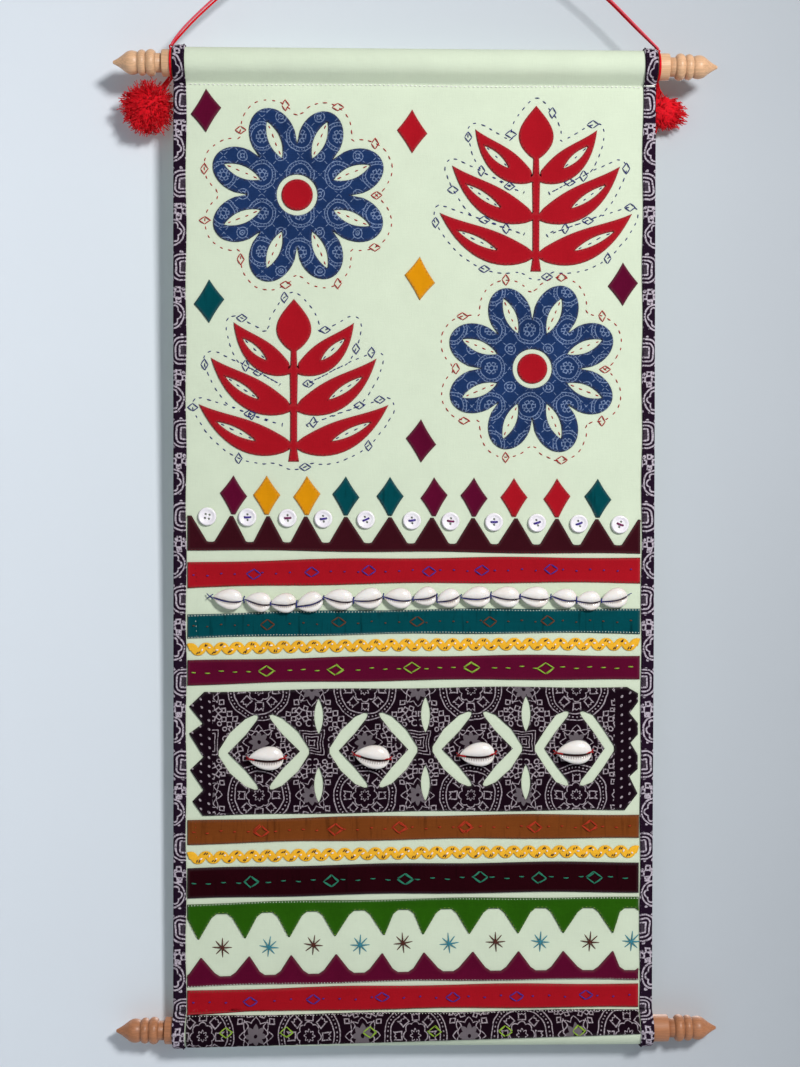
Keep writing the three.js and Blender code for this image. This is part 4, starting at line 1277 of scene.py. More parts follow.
def single_tree() -> Grower:
    """One low arch of thread over every edge of the base mesh."""
    grower = Grower("Single stitches", ("Thread", "Rise"))
    graph, thread = grower.graph, grower.num("Thread")
    curve = graph.node("GeometryNodeMeshToCurve", {0: grower.given["Geometry"]})
    even = graph.node("GeometryNodeResampleCurve", {"Curve": curve, "Count": 7}, mode="COUNT")
    _, bow = grower.arch()
    lift = graph.scaled(grower.facing(), bow * (grower.num("Rise") + thread) - thread * 0.5)
    moved = graph.node("GeometryNodeSetPosition", {"Geometry": even, "Offset": lift})
    grower.end(grower.round_bar(moved, thread * (bow * 0.22 + 0.32), 6))
    return grower


@cache
def tuft_tree() -> Grower:
    """Wavy strands of yarn standing out of a small core."""
    grower = Grower("Yarn tuft", ("Density", "Reach", "Thread", "Wave", "Ragged"), ("Centre", "Comb"))
    graph, given = grower.graph, grower.given
    roots = {"Mesh": given["Geometry"], "Density": given["Density"], "Seed": given["Seed"]}
    points = graph.node("GeometryNodeDistributePointsOnFaces", roots)
    place = graph.node("GeometryNodeInputPosition").outputs[0]
    way = grower.vectors("SUBTRACT", place, given["Centre"])
    size = graph.num(graph.node("ShaderNodeVectorMath", {0: way}, operation="LENGTH").outputs["Value"])
    combed = grower.vectors("ADD", way, given["Comb"])
    strewn = grower.vectors("ADD", combed, grower.scatter(size * 0.5, 5))
    turn = graph.node("FunctionNodeAlignRotationToVector", {"Vector": strewn}, axis="Z")
    line = graph.node("GeometryNodeCurvePrimitiveLine", {"Start": (0, 0, 0), "End": (0, 0, 1)})
    cut = graph.node("GeometryNodeResampleCurve", {"Curve": line, "Count": 8}, mode="COUNT")
    far = size * grower.num("Reach") * (grower.chance(-1.0, 1.0, 9) * grower.num("Ragged") + 1.0)
    stood_up = {"Points": points, "Instance": cut, "Rotation": turn, "Scale": graph.combine(1.0, 1.0, far)}
    spread = graph.node("GeometryNodeInstanceOnPoints", stood_up)
    real = graph.node("GeometryNodeRealizeInstances", {"Geometry": spread})
    t, _ = grower.arch()
    wild = graph.node("ShaderNodeTexNoise", {"Vector": place, "Scale": 300.0, "Detail": 2.0})
    drift = grower.vectors("SUBTRACT", wild.outputs["Color"], (0.5, 0.5, 0.5))
    bends = {"Geometry": real, "Offset": graph.scaled(drift, t * grower.num("Wave"))}
    waved = graph.node("GeometryNodeSetPosition", bends)
    grower.end(grower.round_bar(waved, grower.num("Thread") * (1.0 - t * 0.35) * 0.5, 4))
    return grower


@dataclass(frozen=True)
class Hand:
    """How stitches are made.

    Attributes:
        pitch: from one stitch to the next; 0 for single stitches, each laid by hand.
        share: how much of the pitch a stitch covers.
        thread: the thread's thickness.
        rise: how high the middle of a stitch stands.
        wander: how unevenly they lie.
    """

    pitch: float = 0.0
    share: float = 0.6
    thread: float = 0.5
    rise: float = 0.15
    wander: float = 0.0


MACHINE = Hand(pitch=1.9, share=0.55, thread=0.6, rise=0.16, wander=0.06)
HEM = Hand(pitch=2.8, share=0.7, thread=0.62, rise=0.1, wander=0.06)
SLIP = Hand(pitch=2.6, share=0.42, thread=0.3, rise=0.05, wander=0.10)
RUNNING = Hand(pitch=5.4, share=0.55, thread=0.62, rise=0.12, wander=0.22)
LAID = Hand(thread=0.62, rise=0.16)
THICK = Hand(thread=0.8, rise=0.2)
SPECK = Hand(thread=0.95, rise=0.1)


class Needlework:
    """Collects every stitch by thread and hand, and sews them at the end."""

    def __init__(self) -> None:
        """Starts with an empty needle."""
        self.paths: dict[tuple[str, Hand], list[tuple[np.ndarray, np.ndarray]]] = {}
        self.chance = random.Random(41)

    def path(self, thread: str, hand: Hand, flat: Sequence, off: float) -> None:
        """Adds a line of stitches.

        Args:
            thread: the thread's name in THREADS.
            hand: how it is stitched.
            flat: the line's points in flat coordinates.
            off: how far in front of the cloth's mid-line it lies.
        """
        flat = np.asarray(flat, float)
        if hand.pitch and path_length(flat) > hand.pitch:
            flat = evenly(flat, hand.pitch / 2)
        points = CLOTH.place(flat[:, 0], flat[:, 1], off)
        self.paths.setdefault((thread, hand), []).append((points, CLOTH.facing(flat[:, 1])))

    def stitch(self, thread: str, hand: Hand, ends: Sequence, off: float, wander: float = 0.2) -> None:
        """Adds one stitch between two flat points, each up to wander off its mark."""
        ends = [[value + self.chance.uniform(-wander, wander) for value in point] for point in ends]
        self.path(thread, hand, ends, off)

    def over(
        self, thread: str, hand: Hand, centre: Sequence, half: Sequence, off: float, wander: float = 0.2
    ) -> None:
        """Adds one stitch over a middle, given half of its run."""
        centre, half = np.array(centre), np.array(half)
        self.stitch(thread, hand, (centre - half, centre + half), off, wander)

    def box(
        self, thread: str, hand: Hand, centre: Sequence, size: Sequence, off: float, passes: int = 1
    ) -> None:
        """Adds a diamond of four laid stitches, gone over a number of times."""
        wide, high = size[0] / 2, size[1] / 2
        tips = [(wide, 0), (0, high), (-wide, 0), (0, -high)]
        for turn in range(passes):
            slack = 0.25 + 0.35 * turn
            for (a, b), (c, d) in zip(tips, tips[1:] + tips[:1]):
                ends = (centre[0] + a, centre[1] + b), (centre[0] + c, centre[1] + d)
                self.stitch(thread, hand, ends, off + 0.1 * turn, slack)

    def sew(self) -> None:
        """Makes one piece for each thread and hand."""
        trees = {True: run_tree(), False: single_tree()}
        for number, ((thread, hand), lines) in enumerate(self.paths.items()):
            points, facing, edges = [], [], []
            for line, out in lines:
                start = sum(len(some) for some in points)
                edges += [(start + i, start + i + 1) for i in range(len(line) - 1)]
                points.append(line)
                facing.append(out)
            mesh = bpy.data.meshes.new("paths")
            mesh.from_pydata((np.vstack(points) * MM).tolist(), edges, [])
            kept = mesh.attributes.new("out", "FLOAT_VECTOR", "POINT")
            kept.data.foreach_set("vector", np.vstack(facing).astype(np.float32).ravel())
            base = stood("paths", mesh)
            values = {"Thread": hand.thread * MM, "Rise": hand.rise * MM, "Seed": number}
            if hand.pitch:
                values |= {"Pitch": hand.pitch * MM, "Share": hand.share, "Wander": hand.wander * MM}
            name = f"stitches_{number + 1}_{thread}"
            made = trees[hand.pitch > 0].grow(name, base, THREADS[thread], values)
            place_piece(made, {"red": "red_yarn", "pearl": "shirt_button"}.get(thread, "dark_cotton"))


NEEDLE = Needlework()
PATCH_TOP = NEAR + Applique.body    # a patch's front in its middle
PATCH_RIM = NEAR + Applique.rim     # and over its turned edge
ON_CLOTH = SHEET / 2 + 0.05         # stitches in the cloth's own front


# ---------------------------------------------------------------- cloth and bindings


def swept(
    name: str, stations: np.ndarray, section: Callable[[float], tuple], finish: Finish
) -> bpy.types.Object:
    """A closed sheet swept along the cloth.

    Args:
        name: the object's name.
        stations: the places of its rows along the cloth.
        section: gives the outer and inner lines at a place, as rows of x, offset and place on the cloth.
        finish: its cloth.

    Returns:
        The object.
    """
    rings, flats = [], []
    for s in stations:
        outer, inner = section(float(s))
        ring = np.vstack([outer, inner[::-1]])
        rings.append(CLOTH.place(ring[:, 0], s, ring[:, 1]))
        flats.append(np.stack([ring[:, 2], np.full(len(ring), s)], axis=1))
    faces = strip_faces(len(rings), len(rings[0]))
    return piece(name, np.vstack(rings), faces, finish, np.vstack(flats))


def round_edge(away: np.ndarray, half: float = SHEET / 2) -> np.ndarray:
    """Half a sheet's thickness near its rounded edge, never quite nothing."""
    return half * np.maximum(np.sqrt(1 - (1 - np.clip(away / half, 0, 1)) ** 2), 0.12)


@dataclass
class GroundCloth:
    """The pale cloth that everything is sewn to."""

    columns: int = 88
    panel_step: float = 3.0
    pocket_step: float = 1.1

    def section(self, s: float) -> tuple[np.ndarray, np.ndarray]:
        """The sheet's two faces across one row."""
        inner = np.linspace(-CLOTH_HALF + 0.5, CLOTH_HALF - 0.5, self.columns)
        edge = np.array([0.0, 0.15])
        x = np.concatenate([-CLOTH_HALF + edge, inner, CLOTH_HALF - edge[::-1]])
        half = round_edge(CLOTH_HALF - np.abs(x))
        return np.stack([x, half, x], axis=1), np.stack([x, -half, x], axis=1)

    def make(self) -> None:
        """Hangs the cloth on both rods."""
        rows = CLOTH.rows(self.panel_step, self.pocket_step)
        made = swept("ground_cloth_sheet", rows, self.section, GROUND)
        place_piece(made, "ground_cotton", "ground_cloth")


@dataclass
class SideBinding:
    """A block-printed strip folded round one raw side of the cloth.

    Attributes:
        side: -1 for the left and 1 for the right.
    """

    side: int
    width: float = 8.2
    wave: float = 0.3
    turn: float = 1.3           # the fold's radius at the middle of its thickness
    back_start: float = 5.0     # the back half starts this far from a seam
    back_fade: float = 6.0

    def section(self, s: float) -> tuple[np.ndarray, np.ndarray]:
        """The strip's two faces in one row: front, round the edge, and back in the panel only."""
        z = float(np.interp(s, CLOTH.along, CLOTH.line[:, 1]))
        start = EDGE_HALF - self.width + self.wave * math.sin(z / 11 + self.side)
        hub = EDGE_HALF - SHEET / 2 - self.turn
        seams = float(CLOTH.station(CLOTH.top_seam)), float(CLOTH.station(CLOTH.bottom_seam))
        into = min(s - seams[0], seams[1] - s) - self.back_start
        open_share = min(1.0, max(0.0, into / self.back_fade))
        front, arc = hub - start, math.pi * self.turn * (0.5 + 0.5 * open_share)
        back = front * open_share
        total = front + arc + back
        q = np.concatenate([
            [0, 0.15, 0.5, 1.2], np.linspace(2.4, front, 5), front + arc * np.linspace(0.12, 1, 8),
            front + arc + back * np.linspace(0.1, 1, 7),
        ])
        q = np.clip(q, 0, total)
        bend = np.clip((q - front) / self.turn, 0, arc / self.turn)
        x = np.where(q < front, start + q, hub + self.turn * np.sin(bend)) - np.maximum(q - front - arc, 0)
        off = self.turn * np.cos(bend)
        half = round_edge(np.minimum(q, total - q))
        nx, noff = np.sin(bend), np.cos(bend)
        outer = np.stack([self.side * (x + nx * half), off + noff * half, q], axis=1)
        inner = np.stack([self.side * (x - nx * half), off - noff * half, q], axis=1)
        return outer, inner

    def make(self) -> None:
        """Folds the strip on and stitches its inner edge."""
        name = "left" if self.side < 0 else "right"
        made = swept(f"binding_{name}_sheet", CLOTH.rows(2.6, 1.1), self.section, BORDER_PRINT)
        place_piece(made, "block_print_cotton", f"binding_{name}")
        unrolled = 2 * (self.width - SHEET / 2 - self.turn) + math.pi * self.turn
        size = (unrolled * MM, CLOTH.length * MM)
        down = np.linspace(float(CLOTH.station(TOP_ROD[2] + 9)), float(CLOTH.station(BOTTOM_ROD[2] - 9)), 300)
        z = np.interp(down, CLOTH.along, CLOTH.line[:, 1])
        start = EDGE_HALF - self.width + self.wave * np.sin(z / 11 + self.side) + 0.9
        NEEDLE.path("ink", MACHINE, np.stack([self.side * start, down], axis=1), self.turn + 0.5)


# ---------------------------------------------------------------- rods, ties, cord and pompoms


def lathe(profile: np.ndarray, start: np.ndarray, way: int, sides: int) -> Shape:
    """A turned body about the X axis from distances along and radii."""
    turns = np.arange(sides) * TURN / sides
    along, radius = np.asarray(profile, float).T
    x = np.repeat(start[0] + way * along, sides)
    y = start[1] + np.outer(radius, np.cos(turns)).ravel()
    z = start[2] + np.outer(radius, np.sin(turns)).ravel()
    return np.stack([x, y, z], axis=1), quads(len(profile), sides, wrap=True)


@dataclass
class TurnedRod:
    """A wooden dowel with a turned finial at each end."""

    node: str
    sides: int = 56
    chamfer: float = 0.7
    neck: tuple[float, float] = (3.6, 5.9)                              # length and radius
    beads: Pairs = ((6.1, 8.3), (5.1, 7.9))
    valley: float = 6.3
    onion: Pairs = (
        (0, 0.87), (0.06, 0.93), (0.16, 0.99), (0.28, 1), (0.42, 0.9), (0.56, 0.69), (0.7, 0.47),
        (0.84, 0.28), (0.94, 0.17), (0.985, 0.12), (1, 0),
    )
    onion_size: tuple[float, float] = (15.7, 7.3)

    def finial_profile(self) -> tuple[list[tuple[float, float]], list[float]]:
        """Distances along and radii of a finial, and how deep each is in a cut groove."""
        profile, groove = [(0.0, 0.0), (0.0, self.neck[1] - 0.3), (0.3, self.neck[1])], [0.6, 0.6, 0.3]
        profile += [(self.neck[0] - 0.5, self.neck[1]), (self.neck[0], self.neck[1] + 0.15)]
        groove += [0.1, 0.8]
        reached = self.neck[0]
        for size, radius in self.beads:
            for t in np.linspace(0, 1, 15)[1:]:
                swell = math.sin(math.pi * t) ** 0.62
                profile.append((reached + size * t, self.valley + (radius - self.valley) * swell))
                groove.append(max(0.0, 1 - swell * 1.9))
            reached += size
        curve = centripetal(np.array(self.onion), 4)
        for at, wide in curve[1:]:
            profile.append((reached + self.onion_size[0] * at, max(0.0, self.onion_size[1] * wide)))
            groove.append(max(0.0, 0.7 - at * 9))
        return profile, groove

    def make(self) -> None:
        """Turns the dowel and both finials."""
        low, high = corners(self.node)
        centre, radius = (low + high) / 2, (high[2] - low[2]) / 2
        size, cut = high[0] - low[0], self.chamfer
        profile = [(0, 0), (0, radius - cut), (cut * 0.3, radius - cut * 0.3), (cut, radius)]
        profile += [(size - at, wide) for at, wide in reversed(profile)]
        start = np.array([low[0], centre[1], centre[2]])
        points, faces = lathe(profile, start, 1, self.sides)
        made = piece(f"{self.node}_dowel", points, faces, WOODS[self.node])
        place_piece(made, "turned_wood", self.node)
        profile, groove = self.finial_profile()
        for end, way in (("left", -1), ("right", 1)):
            node = f"{self.node}_finial_{end}"
            low, high = corners(node)
            start = np.array([high[0] if way < 0 else low[0], centre[1], centre[2]])
            points, faces = lathe(profile, start, way, self.sides)
            marks = {"groove": np.repeat(groove, self.sides)}
            made = piece(f"{node}_turned", points, faces, WOODS[self.node], marks=marks)
            place_piece(made, "turned_wood", node)


# The doubled cord's middle line in metres, from the left rod end over the top to the right one: x, z, half
# the strands' distance in the cord's own plane, and half their distance from front to back.
CORD_ROUTE = (
    (-0.1528, -0.09910, 0, 0.0009), (-0.1500, -0.09520, 0.0004, 0.0008),
    (-0.1454, -0.08960, 0.00065, 0.00062), (-0.1370, -0.08080, 0.00065, 0.00062),
    (-0.1230, -0.06790, 0.00065, 0.00062), (-0.1100, -0.05690, 0.0004, 0.0008),
    (-0.0960, -0.04630, 0, 0.0009), (-0.0780, -0.03460, -0.0004, 0.0008),
    (-0.0560, -0.02250, -0.0005, 0.00075), (-0.0340, -0.01230, 0.0002, 0.0009),
    (-0.0160, -0.00510, 0, 0.0009), (-0.0050, -0.00115, 0, 0.0009),
    (-0.0024, -0.00020, 0, 0.0009), (0.0000, 0.00045, 0, 0.0009),
    (0.0024, -0.00020, 0, 0.0009), (0.0050, -0.00120, 0, 0.0009),
    (0.0160, -0.00520, 0, 0.0009), (0.0340, -0.01250, -0.0003, 0.00085),
    (0.0560, -0.02280, 0.0003, 0.00085), (0.0780, -0.03500, 0.0005, 0.00075),
    (0.0960, -0.04700, 0.0005, 0.00075), (0.1100, -0.05810, 0.0004, 0.0008),
    (0.1230, -0.06970, 0.0004, 0.0008), (0.1394, -0.08590, 0.0003, 0.00085),
    (0.1530, -0.09910, 0, 0.0009),
)


def plied(radius: float, twist: float) -> Callable[[float, np.ndarray], np.ndarray]:
    """The section of two plies twisted together, with a full turn every twist."""
    def section(along: float, turns: np.ndarray) -> np.ndarray:
        """Radii at the section's angles."""
        return radius * (0.8 + 0.2 * np.abs(np.cos(turns - TURN * along / twist)) ** 0.7)
    return section


def laid_thread(points: Sequence, radius: float, step: float = 0.5) -> Shape:
    """A short plied thread laid through a few points."""
    return tube(evenly(centripetal(np.array(points), 8), step), plied(radius, 2.2), 6)


def spin(turn: float) -> np.ndarray:
    """The matrix that turns work on the front by an angle in radians; its rows are across, back and up."""
    c, s = math.cos(turn), math.sin(turn)
    return np.array([[c, 0, s], [0, 1, 0], [-s, 0, c]])


@dataclass
class HangingCord:
    """The doubled red cord that the hanging is held by."""

    diameter: float = 1.4
    twist: float = 3.4
    step: float = 0.42

    def strand(self, which: int) -> np.ndarray:
        """The middle line of one strand; which is 1 for the front one and -1 for the back one."""
        route = np.array(CORD_ROUTE) / MM
        after = np.vstack([route[1:], route[-1:]])
        square = unit(leftward(after - np.vstack([route[:1], route[:-1]])))
        x, z = (route[:, :2] + square * route[:, 2:3] * which).T
        points = np.stack([x, -route[:, 3] * which, z], axis=1)
        return evenly(centripetal(points, 24), self.step)

    def make(self) -> None:
        """Makes both strands."""
        for name, which, finish in (("front", 1, CORD_YARN), ("back", -1, RED_YARN)):
            path = self.strand(which)
            points, faces = tube(path, plied(self.diameter / 2, self.twist), 10)
            made = piece(f"cord_{name}_strand", points, faces, finish)
            place_piece(made, "red_yarn", f"cord_{name}")
            line = path * MM
            path_length(line)


@dataclass
class Pompom:
    """A pompom of red yarn hanging under a tied rod end.

    Attributes:
        side: left or right.
        comb: the way its strands are combed.
        density: strands per square metre of its small core.
        reach: how long the strands are, in core radii.
        wave: how wavy they are.
        ragged: how uneven their lengths are.
        seed: its own random start.
    """

    side: str
    comb: tuple[float, float, float]
    density: float
    reach: float
    wave: float
    ragged: float
    seed: int
    core: float = 0.34      # the size of the core that the yarn grows from
    heart: float = 0.72     # the size of the dense middle
    thread: float = 0.72
    ties_count: int = 9

    def ball(self, share: float, rough: float) -> Shape:
        """A rounded body of a share of the pompom's size."""
        centre = middle(f"pompom_{self.side}")
        low, high = corners(f"pompom_{self.side}")
        rows, columns = 24, 32
        turns = np.arange(columns) * TURN / columns
        up, turn = np.meshgrid(np.linspace(0, math.pi, rows), turns, indexing="ij")
        unit = np.stack([np.sin(up) * np.cos(turn), np.sin(up) * np.sin(turn), np.cos(up)], axis=-1)
        unit = unit.reshape(-1, 3)
        bumps = 1 + rough * np.sin(9 * unit[:, 0] + 4 * unit[:, 2]) * np.cos(8 * unit[:, 2] - 5 * unit[:, 1])
        return centre + unit * (high - low) / 2 * share * bumps[:, None], quads(rows, columns, wrap=True)

    def ties(self) -> Shape:
        """The few strands from the rod's tie down into the pompom."""
        rod, centre = middle(f"rod_tie_{self.side}"), middle(f"pompom_{self.side}")
        chance, parts = random.Random(self.seed), []
        for _ in range(self.ties_count):
            turn = chance.uniform(0.2, 1.5)
            start = rod + [chance.uniform(-0.8, 0.8), 9.2 * math.sin(turn), -9.2 * math.cos(turn)]
            end = centre + [chance.uniform(-4, 4), chance.uniform(-3, 3), chance.uniform(2, 7)]
            half = (start + end) / 2 + [chance.uniform(-1, 1), 1.0, chance.uniform(-1.5, 0.5)]
            path = centripetal(np.array([start, half, end]), 6)
            parts.append(tube(path, plied(self.thread / 2, 2.6), 6))
        return joined(parts)

    def make(self) -> None:
        """Grows the yarn, and puts a dense heart and the tie strands in it."""
        centre = middle(f"pompom_{self.side}")
        points, faces = self.ball(self.core, 0.16)
        base = piece("pompom_core", points, faces, RED_YARN)
        values = {
            "Density": self.density, "Centre": tuple(centre * MM), "Reach": self.reach,
            "Comb": tuple(np.array(self.comb) * MM), "Thread": self.thread * MM, "Wave": self.wave * MM,
            "Ragged": self.ragged, "Seed": self.seed,
        }
        tuft = tuft_tree().grow(f"pompom_{self.side}_yarn", base, RED_YARN, values)
        place_piece(tuft, "red_yarn", f"pompom_{self.side}")
        heart = piece(f"pompom_{self.side}_heart", *self.ball(self.heart, 0.10), RED_YARN)
        place_piece(heart, "red_yarn")
        place_piece(piece(f"pompom_{self.side}_ties", *self.ties(), RED_YARN), "red_yarn")


@dataclass
class RodTie:
    """The cord's turns round one rod end, and its knot."""

    side: str
    turns: float = 1.5
    thickness: float = 0.95

    def make(self) -> None:
        """Winds the turns and ties the knot on top."""
        low, high = corners(f"rod_tie_{self.side}")
        centre = (low + high) / 2
        inner = 8.6 + self.thickness / 2
        t = np.linspace(0, 1, 150)
        turn = TURN * self.turns * t + 0.3
        x = low[0] + self.thickness / 2 + (high[0] - low[0] - self.thickness) * t
        wobble = 0.12 * np.sin(turn * 1.7)
        path = np.stack([x + wobble, -np.sin(turn) * inner, centre[2] + np.cos(turn) * inner], axis=1)
        parts = [tube(path, plied(self.thickness / 2, 2.8), 9)]
        knot = np.linspace(0, TURN, 40)
        top = centre[2] + inner + 0.9
        wide, deep = 1.25 * np.cos(knot), 0.9 * np.sin(2 * knot)
        ring = np.stack([centre[0] + wide, deep, top + np.sin(knot)], axis=1)
        parts.append(tube(ring, plied(self.thickness / 2, 2.8), 8))
        made = piece(f"rod_tie_{self.side}_yarn", *joined(parts), RED_YARN)
        place_piece(made, "red_yarn", f"rod_tie_{self.side}")


# ---------------------------------------------------------------- the upper field's motifs


def offset_line(loop: np.ndarray, distance: float) -> np.ndarray:
    """A closed line outside an outline at a distance, without the points that crowd."""
    loop = stepped(loop, 1.5)
    side = across(loop)
    sign = -1 if inside(loop + side * 0.2, [loop]).mean() > 0.5 else 1
    moved = loop + side * distance * sign
    keep = ~inside(moved, [loop]) & (edge_distance(moved, [loop]) > 0.9 * distance)
    line = moved[keep]
    return np.vstack([line, line[:1]])


def lens(centre: Sequence[float], size: float, width: float, turn: float, steps: int = 14) -> np.ndarray:
    """A slit pointed at both ends."""
    t = np.arange(steps) / steps
    side = np.stack([(t - 0.5) * size, np.sin(math.pi * t) ** 0.8 * width / 2], axis=1)
    both = np.vstack([side, -side])
    c, s = math.cos(turn), math.sin(turn)
    return both @ np.array([[c, s], [-s, c]]) + centre


def to_cloth(points: np.ndarray, shift: Callable[[float, float], tuple] = plain) -> np.ndarray:
    """Points given as x and drop, as flat coordinates."""
    return np.array([shift(float(x), float(drop)) for x, drop in points])


def sew_edge(patch: Applique, thread: str, hand: Hand = SLIP, deep: float = 0.9) -> None:
    """Stitches that hold a patch down, just inside each of its edges."""
    for loop in patch.loops:
        line = inset(patch.loops, loop, deep)
        if len(line) > 3:
            line = np.vstack([line, line[:1]])
            gaps = np.linalg.norm(np.diff(line, axis=0), axis=1)
            for run in np.split(line, np.nonzero(gaps > 6.0)[0] + 1):
                if len(run) > 3:
                    NEEDLE.path(thread, hand, run, PATCH_RIM + 0.02)


def outline_stitches(line: np.ndarray, thread: str, every: float) -> None:
    """A running stitch along a line with a small stitched diamond now and then."""
    NEEDLE.path(thread, RUNNING, line, ON_CLOTH)
    even = evenly(line, every)
    for i, point in enumerate(even[:-1]):
        size = (4.6, 7.0) if i % 2 else (7.2, 4.8)
        NEEDLE.box(thread, LAID, point, size, ON_CLOTH + 0.2)


@dataclass
class Rosette:
    """A block-printed rosette of round petals, slit down the middle, with a red centre."""

    name: str
    x: float
    drop: float
    radius: float
    petals: int = 8
    hole: float = 0.22                          # radii, as shares of its own
    heart: float = 0.17
    slit_at: float = 0.64
    slit: tuple[float, float] = (0.42, 0.13)    # a slit's length and width, as shares too
    stitch: float = 0.15                        # half the stitched line in a slit
    around: float = 5.2                         # from its edge to the running stitch
    every: float = 42.0                         # from one stitched diamond to the next

    def outline(self) -> np.ndarray:
        """The petals' edge, as x and drop."""
        turn = np.linspace(0, TURN, self.petals * 22, endpoint=False)
        petal = np.abs(np.sin(self.petals * turn / 2)) ** 0.6
        reach = self.radius * (0.56 + 0.42 * petal + 0.02 * np.sin(3 * turn + self.x))
        return self.at(turn, reach)

    def circle(self, radius: float, count: int = 36) -> np.ndarray:
        """A ring round the rosette's middle, as x and drop."""
        return self.at(np.linspace(0, TURN, count, endpoint=False), radius)

    def at(self, turn: np.ndarray, reach: np.ndarray | float) -> np.ndarray:
        """Points at angles and distances from the rosette's middle, as x and drop."""
        return np.stack([self.x + reach * np.cos(turn), self.drop - reach * np.sin(turn)], axis=1)

    def make(self) -> None:
        """Sews the rosette, its centre and the stitches round it and in its slits."""
        holes = [self.circle(self.radius * self.hole)]
        middles = []
        for petal in range(self.petals):
            turn = TURN * (petal + 0.5) / self.petals
            way = np.array([math.cos(turn), -math.sin(turn)])
            centre = np.array([self.x, self.drop]) + way * (self.radius * self.slit_at)
            size, width = self.slit
            holes.append(lens(centre, self.radius * size, self.radius * width, -turn))
            away = way * self.radius * self.stitch
            middles.append(np.array([centre - away, centre + away]))
        loops = [to_cloth(loop) for loop in (self.outline(), *holes)]
        body = Applique(f"rosette_{self.name}_patch", loops, INDIGO_PRINT)
        body.sew("indigo_cotton", f"rosette_{self.name}")
        sew_edge(body, "ink")
        heart = Applique(
            f"rosette_centre_{self.name}_patch", [to_cloth(self.circle(self.radius * self.heart))], RED
        )
        heart.sew("red_cotton", f"rosette_centre_{self.name}")
        sew_edge(heart, "dark_red")
        for line in middles:
            NEEDLE.path("red", RUNNING, to_cloth(line), ON_CLOTH)
        around = offset_line(to_cloth(self.outline()), self.around)
        outline_stitches(around[np.abs(around[:, 0]) < BAND_HALF - 1], "red", self.every)


@dataclass
class LeafSpray:
    """A red spray of long leaves on one stem, slit down each side leaf."""

    name: str
    x: float
    drop: float
    height: float
    stem: tuple[float, float] = (3.4, 1.8)
    top_leaf: tuple[float, float] = (0.32, 20.0)
    root: float = 2.4
    leaves: tuple[tuple[float, float, float, float], ...] = (
        (0.1, 0.62, 2, 19), (0.33, 0.58, 10, 19), (0.56, 0.46, 18, 17),
    )   # height on the stem, length, rise in degrees and width
    slit_at: float = 0.56                       # on a leaf, as a share of it
    slit: tuple[float, float] = (0.42, 4.4)     # a slit's length, as a share too, and its width
    stitch: float = 0.36                        # half the stitched line, as a share of the slit
    around: float = 5.0                         # from its edge to the running stitch
    every: float = 44.0                         # from one stitched diamond to the next
    steps: int = 16

    def axis(self, leaf: tuple, t: float) -> tuple[float, float]:
        """A point on a right-hand leaf's middle line, from the stem's foot."""
        at, size, rise, _ = leaf
        reach, turn = size * self.height * t, math.radians(rise + 22 * t)
        return self.stem[1] + reach * math.cos(turn), self.height * at + reach * math.sin(turn)

    def edge(self, leaf: tuple, sign: int, t: float) -> tuple[float, float]:
        """A point on a leaf's upper or lower edge."""
        x, up = self.axis(leaf, t)
        lean = math.radians(leaf[2] + 34 * t)
        wide = (self.root * (1 - t) + leaf[3] / 2 * math.sin(math.pi * t ** 0.85) * 0.9) * sign
        return max(x - wide * math.sin(lean), self.stem[1] + 0.4), up + wide * math.cos(lean)

    def half(self) -> list[tuple[float, float]]:
        """The right-hand half of the outline, from the foot to the top leaf's tip."""
        points = [(self.stem[0], 0.0)]
        for leaf in self.leaves:
            points += [self.edge(leaf, -1, step / self.steps) for step in range(self.steps)]
            points.append(self.axis(leaf, 1))
            points += [self.edge(leaf, 1, step / self.steps) for step in range(self.steps - 1, -1, -1)]
        share, width = self.top_leaf
        for step in range(self.steps):
            t = step / self.steps
            wide = self.stem[1] * (1 - t) + width / 2 * math.sin(math.pi * t ** 0.85)
            points.append((wide, self.height * (1 - share * (1 - t))))
        return points

    def make(self) -> None:
        """Sews the spray and its stitches."""
        right = self.half()
        outline = [(a, b) for a, b in right] + [(0, self.height)] + [(-a, b) for a, b in right[::-1]]
        loops, middles = [np.array([(self.x + a, self.drop - b) for a, b in outline])], []
        for leaf in self.leaves:
            for sign in (1, -1):
                a, b = self.axis(leaf, self.slit_at)
                turn = math.radians(leaf[2] + 24) * sign
                centre = (self.x + sign * a, self.drop - b)
                size = leaf[1] * self.height * self.slit[0]
                loops.append(lens(centre, size, self.slit[1], -turn))
                away = np.array([math.cos(turn), -math.sin(turn)]) * size * self.stitch
                middles.append(np.array([centre - away, centre + away]))
        patch = Applique(f"leaf_spray_{self.name}_patch", [to_cloth(loop) for loop in loops], RED)
        patch.sew("red_cotton", f"leaf_spray_{self.name}")
        sew_edge(patch, "dark_red")
        for line in middles:
            NEEDLE.path("navy", RUNNING, to_cloth(line), ON_CLOTH)
        around = offset_line(to_cloth(loops[0]), self.around)
        outline_stitches(around[np.abs(around[:, 0]) < BAND_HALF - 1], "navy", self.every)


DYES = {"plum": PLUM, "yellow": YELLOW, "teal": TEAL, "red": RED}
OWN_THREAD = {"plum": "plum", "yellow": "gold", "teal": "deep_teal", "red": "dark_red"}


